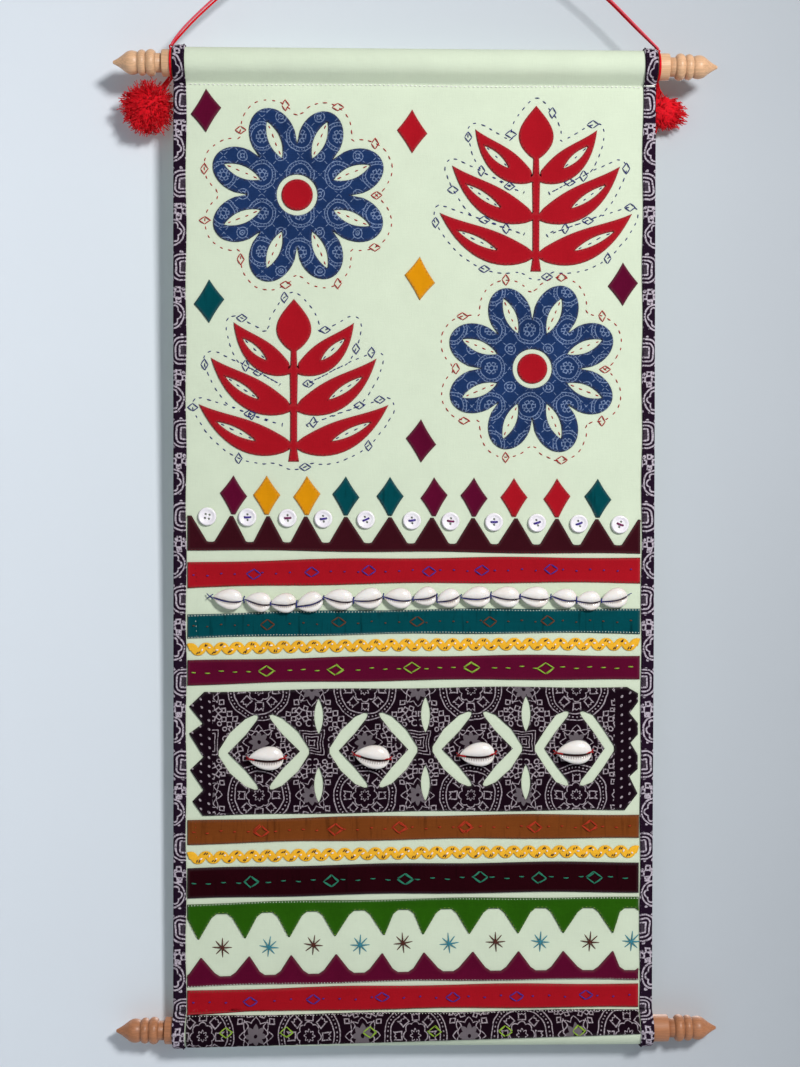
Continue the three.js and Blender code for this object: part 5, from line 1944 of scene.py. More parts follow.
def curved_diamond(
    centre: Sequence[float], half: float, above: float, under: float, lean: float, tail: float = 0.0
) -> np.ndarray:
    """A hand-cut diamond with slightly hollow sides, as x and drop; tail is half the width of its foot."""
    x, drop = centre
    tips = [(x, drop - above), (x + half, drop - lean), (x + tail, drop + under)]
    if tail:
        tips.append((x - tail, drop + under))
    tips.append((x - half, drop + lean))
    edge = []
    for a, b in zip(tips, tips[1:] + tips[:1]):
        a, b = np.array(a), np.array(b)
        span = np.linalg.norm(b - a)
        bow = np.array([-(b - a)[1], (b - a)[0]]) / span * 0.022 * span
        edge += [a + (b - a) * t + bow * math.sin(math.pi * t) for t in np.arange(8) / 8]
    return np.array(edge)


@dataclass
class Diamonds:
    """Hand-cut diamonds: the row above the buttons, and the loose ones in the upper field."""

    row: tuple[str, ...] = ("plum", "yellow", "yellow", "teal", "teal", "plum", "plum", "red", "red", "teal")
    row_drop: float = 270.6
    loose: tuple[tuple[float, float, str, float], ...] = (
        (-131, 30, "plum", 2.0), (-2, 42, "red", -1.0), (-129, 149, "teal", 1.5), (3, 134, "yellow", -2.5),
        (131, 137, "plum", 1.0), (4, 236, "plum", -2.0),
    )   # x, drop, dye and how uneven it is

    @staticmethod
    def cut(name: str, outline: np.ndarray, dye: str, *nodes: str) -> None:
        """Cuts one diamond and sews it on with thread of its own colour."""
        patch = Applique(name, [outline], DYES[dye], spacing=3.0)
        patch.sew(DYES[dye].name, *nodes)
        sew_edge(patch, OWN_THREAD[dye])

    def make(self) -> None:
        """Makes every diamond."""
        for i, dye in enumerate(self.row):
            node = f"diamond_{i + 1}_{dye}"
            x = float(middle(node)[0])
            outline = curved_diamond((x, self.row_drop), 8.6, 12.2, 12.4, i % 3 - 1, tail=1.2)
            self.cut(f"{node}_patch", to_cloth(outline, level), dye, node)
        for i, (x, drop, dye, lean) in enumerate(self.loose):
            outline = curved_diamond((x, drop), 9.6, 14.0, 13.4, lean)
            self.cut(f"loose_diamond_{i + 1}_{dye}", to_cloth(outline), dye)


# ---------------------------------------------------------------- borders, bands and the printed panel


def band_edge(drop: float, half: float = BAND_HALF, count: int = 60) -> np.ndarray:
    """A band's edge from left to right, as x and drop, with a slight wander."""
    x = np.linspace(-half, half, count + 1)
    return np.stack([x, drop + 0.35 * np.sin(x / 17 + drop)], axis=1)


@dataclass
class ToothedBorder:
    """A border with a saw-toothed edge and a straight one.

    Attributes:
        node: the CAD node that it stands for.
        finish: its cloth, named like its slot.
        tips: where the teeth point, from the left.
        drops: the drops of the tips, of the valleys and of the straight edge.
        halves: half the width of a tip and of a valley.
        shoulder: how far a valley's corners are rounded.
        hang: turns x and a drop into flat coordinates.
        rooms: round places kept free for the buttons, as x and drop.
        threads: the colours of its edge stitches.
    """

    node: str
    finish: Finish
    tips: tuple[float, ...]
    drops: tuple[float, float, float]
    halves: tuple[float, float]
    shoulder: float
    hang: Callable[[float, float], tuple] = below
    rooms: Pairs = ()
    room: float = 6.25
    threads: tuple[str, str] = ("pale", "pale")

    def teeth(self) -> np.ndarray:
        """The toothed edge between the bindings, as x and drop."""
        tip_drop, valley_drop, _ = self.drops
        tip_half, valley_half = self.halves
        slope = math.copysign(self.shoulder, tip_drop - valley_drop)
        edge = []
        for tip, after in zip(self.tips, (*self.tips[1:], None)):
            edge += [(tip - tip_half, tip_drop), (tip + tip_half, tip_drop)]
            if after is not None:
                valley = (tip + after) / 2
                edge += [(valley - valley_half, valley_drop + slope), (valley - valley_half / 2, valley_drop)]
                edge += [(valley + valley_half / 2, valley_drop), (valley + valley_half, valley_drop + slope)]
        edge = np.array(edge)
        ends = np.interp([-BAND_HALF, BAND_HALF], edge[:, 0], edge[:, 1])
        kept = edge[np.abs(edge[:, 0]) < BAND_HALF - 0.6]
        return np.vstack([[-BAND_HALF, ends[0]], kept, [BAND_HALF, ends[1]]])

    def make(self) -> None:
        """Cuts and sews the border."""
        outline = np.vstack([band_edge(self.drops[2]), self.teeth()[::-1]])
        flat = stepped(to_cloth(outline, self.hang), 1.0)
        for x, drop in self.rooms:
            away = flat - np.array(self.hang(x, drop))
            far = np.linalg.norm(away, axis=1)
            near = far < self.room
            flat[near] += away[near] / far[near, None] * (self.room - far[near, None])
        patch = Applique(f"{self.node}_patch", [flat], self.finish, spacing=3.2)
        patch.sew(self.finish.name, self.node)
        toothed, straight = self.threads
        teeth = to_cloth(self.teeth() + [0, math.copysign(1.0, self.drops[2] - self.drops[0])], self.hang)
        NEEDLE.path(toothed, SLIP, teeth, PATCH_RIM + 0.02)
        inner = self.drops[2] + math.copysign(0.6, self.drops[0] - self.drops[2])
        NEEDLE.path(straight, MACHINE, to_cloth(band_edge(inner, BAND_HALF - 1), self.hang), PATCH_TOP)


@dataclass
class Band:
    """A straight band with embroidered diamonds along its middle.

    Attributes:
        node: the CAD node that it stands for.
        finish: its cloth, named like its slot.
        drops: the drops of its upper and lower edge.
        edge_thread: the colour of its edge stitches.
        diamond_thread: the colour of its diamonds.
        diamonds: where they are.
        size: how wide and high they are.
        passes: how often each is gone over.
        dash: how long the stitches between them are.
        seam_thread: the colour of the upright seam near its left end.
    """

    node: str
    finish: Finish
    drops: tuple[float, float]
    edge_thread: str
    diamond_thread: str
    diamonds: tuple[float, ...]
    size: tuple[float, float] = (9.0, 6.6)
    passes: int = 1
    dash: float = 1.1
    pitch: float = 8.6
    seam_thread: str = ""
    seam_x: float = -137.5

    def make(self) -> None:
        """Cuts, sews and embroiders the band."""
        top, bottom = self.drops
        outline = np.vstack([band_edge(bottom), band_edge(top)[::-1]])
        patch = Applique(f"{self.node}_patch", [to_cloth(outline, below)], self.finish)
        patch.sew(self.finish.name, self.node)
        for drop in (top + 0.75, bottom - 0.75):
            line = to_cloth(band_edge(drop, BAND_HALF - 1), below)
            NEEDLE.path(self.edge_thread, MACHINE, line, PATCH_TOP + 0.12)
        middle_drop = (top + bottom) / 2
        for i, x in enumerate(self.diamonds):
            centre = below(x, middle_drop + 0.5 * math.sin(1.9 * i + top))
            NEEDLE.box(self.diamond_thread, THICK, centre, self.size, PATCH_TOP + 0.1, self.passes)
        for x in np.arange(-BAND_HALF + 4, BAND_HALF - 3, self.pitch):
            if min(abs(x - there) for there in self.diamonds) > self.size[0] / 2 + 0.8:
                centre = below(float(x), middle_drop + 0.6 * math.sin(x))
                NEEDLE.over(self.diamond_thread, THICK, centre, (self.dash / 2, 0), PATCH_TOP + 0.12)
        if self.seam_thread:
            start, end = below(self.seam_x, top + 1.5), below(self.seam_x + 0.8, bottom - 1.5)
            NEEDLE.path(self.seam_thread, SLIP, [start, end], PATCH_TOP + 0.1)


@dataclass
class BlockPanel:
    """The wide block-printed panel with chevrons cut beside each shell and upright slits between them."""

    drops: tuple[float, float] = (391.2, 469.4)
    pairs: Pairs = ((-94.5, 28.5), (-25.5, 27.7), (40, 28.3), (101.4, 25))
    chevron_drop: float = 430.1
    inner: float = 4.2
    rise: float = 22.6
    width: float = 5.8
    slit_drops: tuple[float, float] = (408.2, 451.4)
    slit: tuple[float, float] = (22.4, 5.6)
    medallion: tuple[float, float] = (-97.6, 458.9)     # the middle of one in the print
    left_end: Pairs = (
        (132, 391), (141.6, 400), (133, 411), (141.6, 417), (132.6, 432), (141, 440), (132.6, 452.8),
        (139.5, 459.8), (133, 469.2),
    )
    right_end: Pairs = (
        (134.5, 391), (141.6, 395), (141.6, 400.4), (136.4, 407.6), (141.6, 414), (141.6, 421),
        (137, 426.5), (141.6, 434), (141.6, 443), (136.4, 447.9), (141.6, 458.5), (133.5, 469.2),
    )

    def outline(self) -> np.ndarray:
        """The panel's edge with its notched ends, as x and drop."""
        top, bottom = (band_edge(drop, 125, 40) for drop in self.drops)
        right = np.array(self.right_end)[::-1]
        left = np.array(self.left_end) * [-1, 1]
        return np.vstack([bottom, right, top[::-1], left])

    def chevron(self, x: float, reach: float, sign: int) -> np.ndarray:
        """One chevron cut beside a shell; sign is -1 on its left and 1 on its right."""
        def arm(up: int) -> list[tuple[float, float]]:
            """One arm, from the outside of the bend round its narrow end."""
            a, b = self.inner, self.rise
            return [
                (reach - 7, up * 12.5), (a + 7.4, up * (b - 1.4)), (a + 1.6, up * (b + 1)),
                (a - 0.3, up * (b + 0.8)), (a - 0.6, up * (b - 0.2)), (a + 0.3, up * (b - 2.4)),
                (a + 7.3, up * 11.2),
            ]
        points = [(reach, -1.5), (reach, 1.5), *arm(1), (reach - self.width, 0), *arm(-1)[::-1]]
        return np.array([(x + sign * a, self.chevron_drop - b) for a, b in points])

    def make(self) -> None:
        """Cuts, sews and stitches the panel."""
        holes = [self.chevron(x, reach, sign) for x, reach in self.pairs for sign in (-1, 1)]
        flat = [to_cloth(loop, below) for loop in (self.outline(), *holes)]
        slits = []
        for (a, _), (b, _) in zip(self.pairs, self.pairs[1:]):
            for drop in self.slit_drops:
                slits.append(lens(below((a + b) / 2, drop), *self.slit, math.pi / 2))
        cloth = replace(PANEL_PRINT, origin=plain(*self.medallion))
        patch = Applique("block_panel_patch", flat + slits, cloth, spacing=4.2, edge_step=1.5)
        patch.sew("block_print_cotton", "block_panel")
        sew_edge(patch, "ink")


@dataclass
class BottomStrip:
    """The block-printed strip round the front of the bottom pocket."""

    top: float = 10.7
    ends: tuple[float, float] = (-7.9, -0.6)        # its lower edge on the cloth's mid-line, left and right
    diamonds: tuple[float, ...] = (-117.5, -79.7, -27.4, 12.9, 57.6, 103.6)

    def make(self) -> None:
        """Cuts, sews and embroiders the strip."""
        x = np.linspace(-BAND_HALF, BAND_HALF, 61)
        spacing = TOP_ROD[2] - BOTTOM_ROD[2]
        upper = np.stack([x, spacing - self.top - 0.008 * x + 0.3 * np.sin(x / 19)], axis=1)
        share = (x + BAND_HALF) / (2 * BAND_HALF)
        lower = np.stack([x, spacing - (self.ends[0] + (self.ends[1] - self.ends[0]) * share)], axis=1)
        flat = to_cloth(np.vstack([lower, upper[::-1]]))
        cloth = replace(STRIP_PRINT, origin=plain(1.2, spacing + 0.6))
        patch = Applique("bottom_strip_patch", [flat], cloth, spacing=2.4, under=1.7)
        patch.sew("block_print_cotton", "bottom_strip")
        NEEDLE.path("pale", MACHINE, to_cloth(upper + [0, 0.9]), PATCH_TOP)
        for x in self.diamonds:
            NEEDLE.box("lime", LAID, plain(x, spacing - 1.5), (8.2, 5.6), PATCH_TOP + 0.1, 2)


@dataclass
class Rickrack:
    """A waved braid sewn along a line."""

    node: str
    drop: float
    swing: float = 1.75
    half: float = 2.45
    period: float = 9.7
    thick: float = 0.8
    columns: int = 9

    def centre_line(self) -> np.ndarray:
        """The braid's middle, in flat coordinates."""
        x = np.arange(-BAND_HALF + 0.6, BAND_HALF - 0.6, 0.62)
        phase = TURN * x / self.period
        drops = self.drop + self.swing * (np.cos(phase) - 0.11 * np.cos(3 * phase))
        return to_cloth(np.stack([x, drops], axis=1), below)

    def make(self) -> None:
        """Lays the braid and sews it down at every bend."""
        line = self.centre_line()
        side = leftward(unit(np.gradient(line, axis=0)))
        u = np.sin(np.linspace(-math.pi / 2, math.pi / 2, self.columns))
        flat = line[:, None] + side[:, None] * (u * self.half)[None, :, None]
        along = np.arange(len(line))[:, None]
        rib = 0.1 * np.sin(along * 2.2 + np.abs(u) * 3.0)
        crown = np.sqrt(np.maximum(1 - u ** 4, 0)) * (0.72 + 0.28 * u ** 2)
        high = NEAR + 0.2 + (self.thick - 0.2 + rib) * crown
        front = CLOTH.place(flat[..., 0], flat[..., 1], high)
        back = CLOTH.place(flat[:, ::-1, 0], flat[:, ::-1, 1], NEAR)
        rings = np.concatenate([front, back], axis=1)
        faces = strip_faces(*rings.shape[:2])
        surface = np.concatenate([flat, flat[:, ::-1]], axis=1).reshape(-1, 2)
        made = piece(f"{self.node}_braid", rings.reshape(-1, 3), faces, BRAID, surface)
        place_piece(made, "yellow_cotton", self.node)
        half = self.period / 2
        for i in range(-int(BAND_HALF / half) + 1, int(BAND_HALF / half)):
            way = -1 if i % 2 else 1
            crest = self.drop + way * (self.swing + 0.5)
            for lean in (-0.45, 0.75):
                x = i * half + lean
                ends = below(x - 0.4, crest + 0.6), below(x + 0.5, crest - 0.7)
                NEEDLE.stitch("ink", LAID, ends, NEAR + self.thick + 0.02, 0.4)
            spot = below(i * half + 1.6, self.drop + way * 0.7)
            ends = spot, (spot[0] + 0.9, spot[1] - 0.5)
            NEEDLE.stitch("pearl", SPECK, ends, NEAR + self.thick - 0.1, 0.6)


# ---------------------------------------------------------------- buttons and shells


def circle(radius: float, count: int) -> np.ndarray:
    """Flat points round the origin."""
    turn = np.arange(count) * TURN / count
    return np.stack([np.cos(turn), np.sin(turn)], axis=1) * radius


@dataclass
class ShirtButtons:
    """The row of dished shirt buttons between the diamonds and the teeth."""

    xs: tuple[float, ...] = (-130.1, -104.9, -79.7, -57.3, -30.6, -1.6, 22.7, 50.1, 77.2, 103.6, 129.5)
    drops: tuple[float, float] = (284.4, 287.1)
    radius: float = 5.75
    hole: float = 0.72
    hole_place: float = 1.25
    seat: float = SHEET / 2 + 0.35      # its back, in front of the cloth's mid-line
    dish: float = 1.3                   # its thickness in the middle
    bar: float = 2.2                    # half a bar of thread
    bars: tuple[float, ...] = (0.6, 0.02, 0.05, 0.12, 0.4, 0.1, -0.12, 0.0, 0.3, 0.35, -0.35)     # their tilt

    def places(self) -> list[tuple[float, float]]:
        """Every button's middle, as x and drop."""
        last = len(self.xs) - 1
        first, end = self.drops
        return [(x, first + (end - first) * i / last) for i, x in enumerate(self.xs)]

    @staticmethod
    def height(r: np.ndarray) -> np.ndarray:
        """The button's thickness at a distance from its middle: dish, raised rim and rounded edge."""
        reached = [0, 2.9, 3.5, 4.1, 4.7, 5.1, 5.5, 5.75]
        return np.interp(r, reached, [1.3, 1.3, 1.42, 1.85, 2.15, 2.15, 1.8, 1.1])

    def disc(self) -> Shape:
        """The button at the origin, facing the front."""
        loops, ring = [circle(self.radius, 44)], circle(self.hole, 12)
        for a in (-1, 1):
            loops += [ring + [a * self.hole_place, b * self.hole_place] for b in (-1, 1)]
        flat, triangles, _ = filled_outline(loops, (0.25, 0.65, 1.05, 1.65, 2.25), 0.9)
        high = self.height(np.linalg.norm(flat, axis=1))
        front = np.stack([flat[:, 0], -high, flat[:, 1]], axis=1)
        back = np.stack([flat[:, 0], np.zeros(len(flat)), flat[:, 1]], axis=1)
        count = len(flat)
        faces = triangles.tolist() + (triangles[:, ::-1] + count).tolist()
        known = {(a, b) for tri in triangles.tolist() for a, b in zip(tri, tri[1:] + tri[:1])}
        faces += [[b, a, a + count, b + count] for a, b in known if (b, a) not in known]
        return np.vstack([front, back]), faces

    def make(self) -> None:
        """Places the buttons and sews them on with bars of thread."""
        points, faces = self.disc()
        for i, (x, drop) in enumerate(self.places()):
            flat = level(x, drop)
            seat = CLOTH.place(flat[0], flat[1], self.seat)
            turned = points @ spin(self.bars[i] - math.pi / 4)
            made = piece(f"shirt_button_{i + 1}", turned + seat, faces, PEARL)
            place_piece(made, "shirt_button", f"button_{i + 1}")
            if i:
                thread = "magenta" if i % 4 == 2 else "purple"
                a, b = math.cos(self.bars[i]) * self.bar, -math.sin(self.bars[i]) * self.bar
                for slack in (-0.14, 0.14):
                    centre = (flat[0] + slack * b, flat[1] - slack * a)
                    NEEDLE.over(thread, LAID, centre, (a, b), self.seat + self.dish + 0.2, 0.1)


@dataclass(frozen=True)
class Cowrie:
    """A cowrie lying with its toothed mouth to the front and its narrow end to the left.

    Attributes:
        length: along its mouth.
        width: across it.
        height: from its back to its lips.
        rows: rows of points along it.
        columns: points round it.
    """

    length: float
    width: float
    height: float
    rows: int = 60
    columns: int = 68
    tooth: float = 1.5
    slit: float = 0.62
    deep: float = 0.3

    def body(self, centre: np.ndarray, turn: float) -> tuple[np.ndarray, list[list[int]], np.ndarray]:
        """The shell at its place.

        Args:
            centre: its middle.
            turn: its turn in degrees, its right end upwards.

        Returns:
            Its points, its faces and how much painted shade each point gets in and beside the mouth.
        """
        u = -np.cos(np.linspace(0, math.pi, self.rows))[:, None]
        a = np.arange(self.columns) * TURN / self.columns - math.pi
        a = (a - 0.6 * np.sin(a))[None, :]
        ring = np.maximum(1 - u, 0) ** 0.46 * np.maximum(1 + u, 0) ** 0.72 / 1.03
        lift = np.sign(np.cos(a)) * np.abs(np.cos(a)) ** 0.75 * ring ** 0.8
        x, z = u * self.length / 2 + 0 * a, np.sin(a) * ring * self.width / 2
        away = z + (1.9 - 1.7 * u ** 2 + 0.3 * np.sin(2.4 * u)) * self.width / 15
        window = np.clip((1 - np.abs(u)) / 0.14, 0, 1) * (lift > 0)
        wide = self.slit * (1.15 - 0.5 * u ** 2)
        mouth = np.exp(-(away / wide) ** 4) * window
        lips = 1.0 - 0.42 * np.exp(-(away / (self.width * 0.15)) ** 2) * window
        comb = 0.5 + 0.5 * np.cos(TURN * x / self.tooth)
        lip = np.exp(-((away + wide * 2.1) / (wide * 1.1)) ** 2) * window
        y = -lift * lips * self.height / 2 + mouth * self.deep * self.height - 0.3 * comb * lip
        points = np.stack([x, y, z], axis=-1).reshape(-1, 3)
        # Painted shade: the slit, the gaps between the teeth and a painted shadow beside the slit make the
        # mark that darkens the glaze.
        shadow = 0.25 * np.exp(-(away / (wide * 2.6)) ** 2) * window
        depth = np.clip(mouth * 1.3 + (1 - comb) * lip * 0.7 + shadow, 0, 1)
        faces = quads(self.rows, self.columns, wrap=True)
        return points @ spin(math.radians(turn)) + centre, faces, depth.ravel()


@dataclass
class PanelCowries:
    """The four big cowries in the printed panel, tied at both tips with red thread."""

    shell: Cowrie = Cowrie(22, 15, 8)
    turns: tuple[float, ...] = (1.0, -7.0, 3.0, 2.0)        # in degrees, from the left

    def make(self) -> None:
        """Places and ties each shell."""
        for i, turn in enumerate(self.turns):
            node = f"panel_cowrie_{i + 1}"
            points, faces, mouth = self.shell.body(middle(node), turn)
            # The mouth mark carries the painted shade in and beside the shell's mouth.
            made = piece(f"{node}_shell", points, faces, SHELL, marks={"mouth": mouth})
            place_piece(made, "shell", node)
            along = spin(math.radians(turn))[0]
            ties = []
            for way in (-1, 1):
                for spread in (-0.5, 0.5):
                    hook = [(12.6, 3.4, spread * 2), (11.6, 0.6, spread), (10.0, -1.9, 0), (7.2, -1.5, -0.7)]
                    points = [middle(node) + along * way * x + [0, y, z] for x, y, z in hook]
                    ties.append(laid_thread(points, 0.42, 0.4))
            place_piece(piece(f"{node}_tie", *joined(ties), THREADS["red"]), "red_yarn")


@dataclass
class CowrieString:
    """Small cowries strung on a navy thread between two bands."""

    drop: float = 334.2
    shells: tuple[tuple[float, float, float], ...] = (
        (-116.9, -1.4, -6), (-98, 0.8, -10), (-82.2, 2, 3), (-65.8, 2, 17), (-47.6, 0.2, -7),
        (-29.3, 0.2, 8), (-10.4, 0.1, -5), (6.6, -0.6, 14), (21.1, 0.8, 16), (38.7, -0.2, 4),
        (57, -0.2, -5), (75.3, -0.1, -4), (94.2, 0.6, -8), (109.3, 2.2, 1), (125.7, 0.7, 14),
    )   # x, drop from the row's line and turn in degrees
    size: tuple[float, float, float] = (18.2, 13.2, 7)
    lift: float = 4.3           # a shell's middle in front of the cloth's mid-line
    thread: float = 0.6

    def make(self) -> None:
        """Places the shells and runs the thread through their mouths."""
        parts, mouth_shades, path = [], [], []
        xs = np.array([row[0] for row in self.shells])
        gaps = np.diff(xs)
        room = np.minimum(np.concatenate([[99], gaps]), np.concatenate([gaps, [99]])) + 0.4
        for i, (x, drop, turn) in enumerate(self.shells):
            size = min(self.size[0], float(room[i]))
            wide = self.size[1] * (0.5 + 0.5 * size / self.size[0])
            shell = Cowrie(size, wide, self.size[2], rows=44, columns=48, tooth=1.3, slit=0.42)
            flat = below(x, self.drop + drop)
            centre = CLOTH.place(flat[0], flat[1], self.lift)
            points, faces, mouth = shell.body(centre, turn)
            parts.append((points, faces))
            mouth_shades.append(mouth)
            way, back, up = spin(math.radians(turn))
            sunk = 0.9 if i % 3 else 0.0        # this shell's thread lies in its mouth
            stands = (0.9, 1.2 - sunk, 0.9 - sunk, 1.2 - sunk, 0.9)
            for at, stand in zip((-0.5, -0.34, 0, 0.34, 0.5), stands):
                path.append(centre + way * at * size - up * 1.65 * (1 - 4 * at * at) - back * stand)
        # The mouth marks carry the painted shade in and beside each shell's mouth.
        made = piece("cowrie_string_shells", *joined(parts), SHELL, marks={"mouth": np.concatenate(mouth_shades)})
        place_piece(made, "shell", "cowrie_string")
        path = np.array(path)
        start, end = path[0] + [-2.4, 2.2, 0.6], path[-1] + [3.0, 2.4, 1.2]
        line = evenly(centripetal(np.vstack([start, path, end]), 8), 0.5)
        threads = [tube(line, plied(self.thread / 2, 2.2), 7)]
        for i in range(1, len(self.shells)):
            hub, high = (path[5 * i - 1] + path[5 * i]) / 2, 1.5 + 0.6 * math.sin(2.6 * i)
            tie = [(0.4, 0.6, high + 0.5), (0, -1.3, high * 0.5), (0.1, -1.4, -0.6), (0.2, 0.6, -high)]
            threads.append(laid_thread(hub + tie, 0.45))
        for tilt in (0.9, -0.7):
            cross = [(-1.9, 0.4, 1.9 * tilt), (0, -0.6, 0), (1.9, 0.4, -1.9 * tilt)]
            threads.append(laid_thread(start + cross, 0.35))
        made = piece("cowrie_string_thread", *joined(threads), THREADS["navy"])
        place_piece(made, "indigo_cotton")


# ---------------------------------------------------------------- embroidery on the ground cloth


@dataclass
class Embroidery:
    """The white hem stitches, the little stars between the lower teeth and other free stitches."""

    star_drop: float = 552.8
    stars: tuple[tuple[float, str], ...] = (
        (-120.6, "brown"), (-91, "teal"), (-63.3, "brown"), (-33.7, "teal"), (-6.6, "brown"),
        (22.4, "teal"), (52, "brown"), (80.3, "teal"), (111.8, "brown"), (138.2, "teal"),
    )
    arm: float = 6.4
    hem_half: float = 140.5
    hem_drop: float = 13.2
    low_hem_drop: float = 595.8

    def make(self) -> None:
        """Sews everything that isn't part of a patch."""
        xs = np.linspace(-self.hem_half, self.hem_half, 80)
        hem = [plain(x, self.hem_drop + 0.3 * math.sin(x / 23)) for x in xs]
        NEEDLE.path("white", HEM, hem, ON_CLOTH + 0.1)
        NEEDLE.path("pale", MACHINE, [plain(x, self.low_hem_drop) for x in xs], ON_CLOTH - 0.03)
        for drop in (11.0, 12.6):
            start, end = plain(143.6, drop), plain(150.6, drop - 0.4)
            NEEDLE.path("white", THICK, [start, end], 2.0)
        for i, (x, thread) in enumerate(self.stars):
            centre = below(x, self.star_drop + 0.4 * math.sin(2.7 * i))
            for ray in range(4):
                turn = math.pi * ray / 4 + 0.12 * math.sin(i)
                reach = self.arm * (1.0 if ray % 2 == 0 else 0.9)
                half = (reach * math.cos(turn), reach * math.sin(turn))
                NEEDLE.over(thread, THICK, centre, half, ON_CLOTH + 0.05 + 0.08 * ray, 0.3)


# ---------------------------------------------------------------- studio


@dataclass(frozen=True)
class Lamp:
    """A round area light.

    Attributes:
        name: its name.
        place: where it stands, in metres.
        size: how wide it is, in metres.
        power: in watts.
        colour: the colour of its light.
    """

    name: str
    place: tuple[float, float, float]
    size: float
    power: float
    colour: Colour

    def stand(self, aim: tuple[float, float, float]) -> None:
        """Stands the light in its place, pointed at a place in metres."""
        made = bpy.data.lights.new(self.name, "AREA")
        made.shape = "DISK"
        made.size = self.size
        made.energy = self.power
        made.color = self.colour
        lamp = stood(self.name, made)
        lamp.location = self.place
        lamp.rotation_euler = (Vector(aim) - Vector(self.place)).to_track_quat("-Z", "Y").to_euler()


@dataclass
class Studio:
    """The camera, the plain pale wall and floor, and the lights."""

    aim: tuple[float, float] = (-9.1, -404.0)
    distance: float = 1000.0
    yaw: float = 1.3
    pitch: float = 0.8
    roll: float = 0.12
    sensor: float = 36.0
    frame_height: float = 672.0             # what the camera takes in at that distance
    wall_slope: float = 0.0198
    wall_front: float = 24.5                # how far behind the rod's centre the wall is there
    wall_half: float = 1500.0
    wall_top: float = 900.0
    floor_z: float = -1200.0
    floor_half: float = 2500.0
    hub: tuple[float, float, float] = (0.0, 0.0, -0.42)     # what the lights point at, in metres
    key_turn: float = 25.0
    key_rise: float = 25.0
    key_reach: float = 1.6                  # from the hub, in metres
    room_colour: Colour = (0.80, 0.86, 0.92)
    room_light: float = 0.22

    def camera(self) -> None:
        """Stands the camera where the hanging is seen from: a little from the left and from above."""
        made = bpy.data.cameras.new("camera")
        made.sensor_fit = "VERTICAL"
        made.sensor_height = self.sensor
        made.lens = self.sensor * self.distance / self.frame_height
        made.clip_start = 0.01
        eye = stood("camera", made)
        turn = math.radians(self.yaw)
        nod = math.radians(self.pitch)
        away = self.distance * math.cos(nod)
        eye.location = (
            (self.aim[0] - away * math.sin(turn)) * MM, -away * math.cos(turn) * MM,
            (self.aim[1] + self.distance * math.sin(nod)) * MM,
        )
        look = Matrix.Rotation(-turn, 4, "Z") @ Matrix.Rotation(math.pi / 2 - nod, 4, "X")
        eye.rotation_euler = (look @ Matrix.Rotation(math.radians(self.roll), 4, "Z")).to_euler()
        bpy.context.scene.camera = eye

    def sheet(self, name: str, corners_mm: list, finish: Finish, one_sided: bool) -> bpy.types.Object:
        """A flat piece of the surroundings; a one-sided one can't be seen, and casts nothing, from behind."""
        mesh = bpy.data.meshes.new(name)
        mesh.from_pydata([[value * MM for value in corner] for corner in corners_mm], [], [[0, 1, 2, 3]])
        made = stood(name, mesh)
        material = finish.material()
        mesh.materials.append(material)
        if one_sided:
            graph = Graph(material.node_tree)
            clear = graph.node("ShaderNodeBsdfTransparent")
            behind = graph.node("ShaderNodeNewGeometry").outputs["Backfacing"]
            nodes = material.node_tree.nodes
            both = graph.node("ShaderNodeMixShader", {0: behind, 1: nodes["Principled BSDF"], 2: clear})
            graph.feed(nodes["Material Output"].inputs["Surface"], both)
            made.visible_shadow = False
        return made

    def build(self) -> None:
        """Sets up the wall, the floor, the lights and the world."""
        scene = bpy.context.scene
        scene.view_settings.view_transform = "Standard"
        low, high, wide = self.floor_z, self.wall_top, self.wall_half
        near, far = (self.wall_front + (z - TOP_ROD[2]) * self.wall_slope for z in (low, high))
        wall = [(-wide, near, low), (wide, near, low), (wide, far, high), (-wide, far, high)]
        self.sheet("wall", wall, WALL_PAINT, True)
        wide = self.floor_half
        floor = [(a * wide, b * wide, low) for a, b in ((-1, -1), (1, -1), (1, 1), (-1, 1))]
        self.sheet("floor", floor, FLOOR_PAINT, False)
        turn, rise = math.radians(self.key_turn), math.radians(self.key_rise)
        out, up = self.key_reach * math.cos(rise), self.key_reach * math.sin(rise)
        place = (out * math.sin(turn), -out * math.cos(turn), self.hub[2] + up)
        for lamp in (
            Lamp("key", place, size=0.30, power=21.5, colour=(1.0, 0.985, 0.96)),
            Lamp("fill", (-1.2, -1.9, -0.2), size=1.6, power=3.6, colour=(0.93, 0.97, 1.0)),
            Lamp("behind", (0.6, 1.9, 0.3), size=1.2, power=26.0, colour=(1.0, 1.0, 1.0)),
        ):
            lamp.stand(self.hub)
        world = bpy.data.worlds.new("room")
        scene.world = world
        world.use_nodes = True
        ground = world.node_tree.nodes["Background"]
        ground.inputs["Color"].default_value = shade(self.room_colour)
        ground.inputs["Strength"].default_value = self.room_light


# ---------------------------------------------------------------- the whole hanging


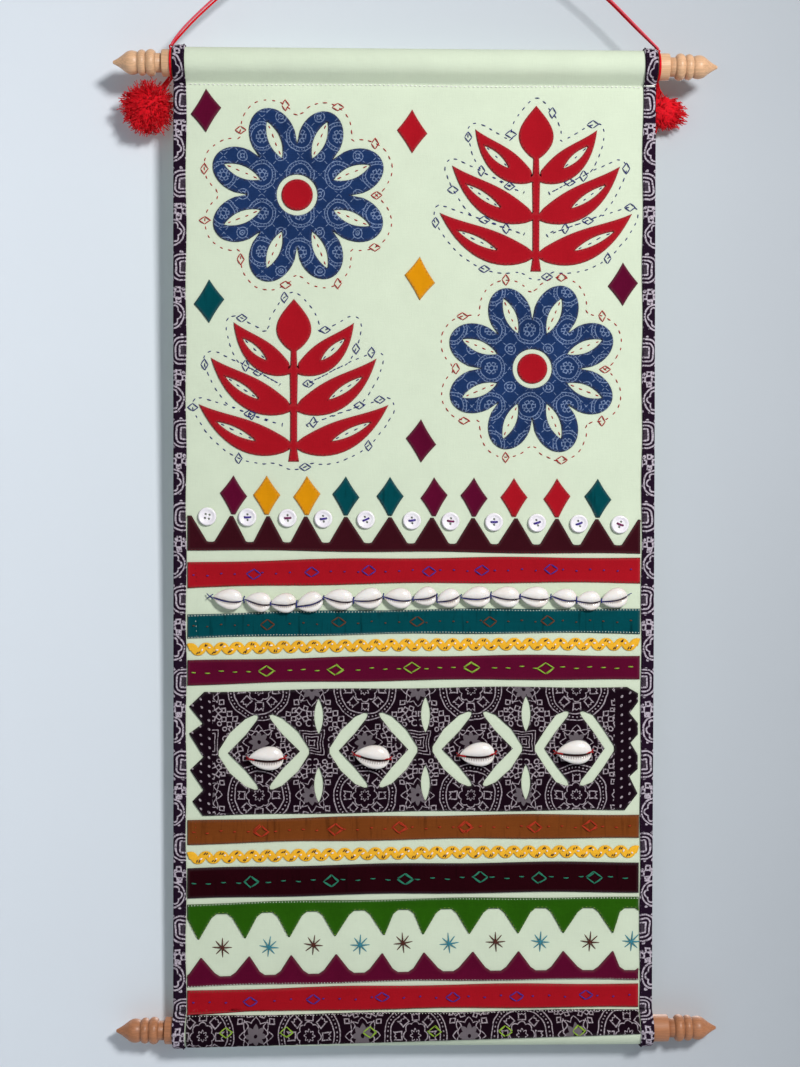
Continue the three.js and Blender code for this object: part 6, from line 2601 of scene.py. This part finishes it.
def main() -> None:
    """Builds the hanging, part by part."""
    logging.basicConfig(level=logging.INFO, format="%(message)s")
    studio = Studio()
    studio.camera()
    HangingCord().make()
    GroundCloth().make()
    for side in (-1, 1):
        SideBinding(side).make()
    for node in ("top_rod", "bottom_rod"):
        TurnedRod(node).make()
    for side in ("left", "right"):
        RodTie(side).make()
    Pompom("left", (-1.5, 0, -1.0), density=3.0e6, reach=1.7, wave=9.0, ragged=0.2, seed=3).make()
    Pompom("right", (5.5, 1.0, -2.0), density=2.6e6, reach=1.75, wave=6.0, ragged=0.22, seed=8).make()
    Rosette("upper_left", x=-74, drop=82, radius=58).make()
    Rosette("lower_right", x=74, drop=190, radius=56).make()
    LeafSpray("upper_right", x=76, drop=129, height=104).make()
    LeafSpray("lower_left", x=-76, drop=249, height=102).make()
    Diamonds().make()
    buttons = ShirtButtons()
    buttons.make()
    ToothedBorder(
        "maroon_teeth", MAROON,
        (-141, -115, -92, -68.4, -43.2, -15.4, 11, 36.9, 64, 89.8, 115, 142),
        drops=(283.9, 300.2, 305.6), halves=(1.0, 2.4), shoulder=0.4,
        hang=level, rooms=tuple(buttons.places()), threads=("dark_red", "dark_red"),
    ).make()
    ToothedBorder(
        "green_teeth", GREEN,
        (-162, -135.5, -106.2, -78.4, -49.5, -18.6, 6, 35.3, 66.2, 94.8, 126.3, 148),
        drops=(547.2, 531.4, 524.5), halves=(0.4, 6.5), shoulder=2.6,
        threads=("lime", "pale"),
    ).make()
    ToothedBorder(
        "plum_teeth", PLUM,
        (-162, -133.9, -103.6, -77.2, -48.8, -19.8, 6.6, 37.5, 66.5, 94.8, 126.3, 148),
        drops=(558.8, 570.8, 576.8), halves=(0.4, 6.5), shoulder=2.2,
        threads=("dark_red", "pale"),
    ).make()
    Band(
        "red_band", RED, (309.3, 325.4), "rust", "purple",
        (-101.1, -64.6, -28.7, 9.1, 42.5, 86), seam_thread="dark_red",
    ).make()
    Band(
        "teal_band", TEAL, (341.8, 357.2), "pale", "rust", (-92.3, -47.6, 1.6, 47.6, 84.1),
        seam_thread="pale",
    ).make()
    Band(
        "plum_band", PLUM, (371.1, 386.5), "dark_red", "lime",
        (-92.9, -49.5, -1.6, 36.2, 82.8), size=(10.2, 6.6), passes=2, dash=3.0,
    ).make()
    Band(
        "brown_band", BROWN, (471.9, 487.0), "rust", "orange_red",
        (-96.1, -49.5, -9.1, 32.4, 76.5, 111.2), size=(9.0, 6.8), passes=3, dash=1.8,
        seam_thread="orange_red",
    ).make()
    Band(
        "dark_band", DARK, (502.1, 521.3), "ink", "sea",
        (-102.4, -52, -5.4, 41.9, 79.1, 114.3), size=(9.4, 7.0), passes=2, dash=3.2, pitch=9.4,
    ).make()
    Band(
        "lower_red_band", RED, (579.3, 594.4), "rust", "purple",
        (-103, -63.3, -19.8, 24.9, 65.2, 109.3), size=(9.0, 6.2), pitch=10.2,
    ).make()
    Rickrack("rickrack_upper", drop=364.1).make()
    Rickrack("rickrack_lower", drop=495.5).make()
    BlockPanel().make()
    BottomStrip().make()
    PanelCowries().make()
    CowrieString().make()
    Embroidery().make()
    NEEDLE.sew()
    studio.build()


if __name__ == "__main__":
    main()
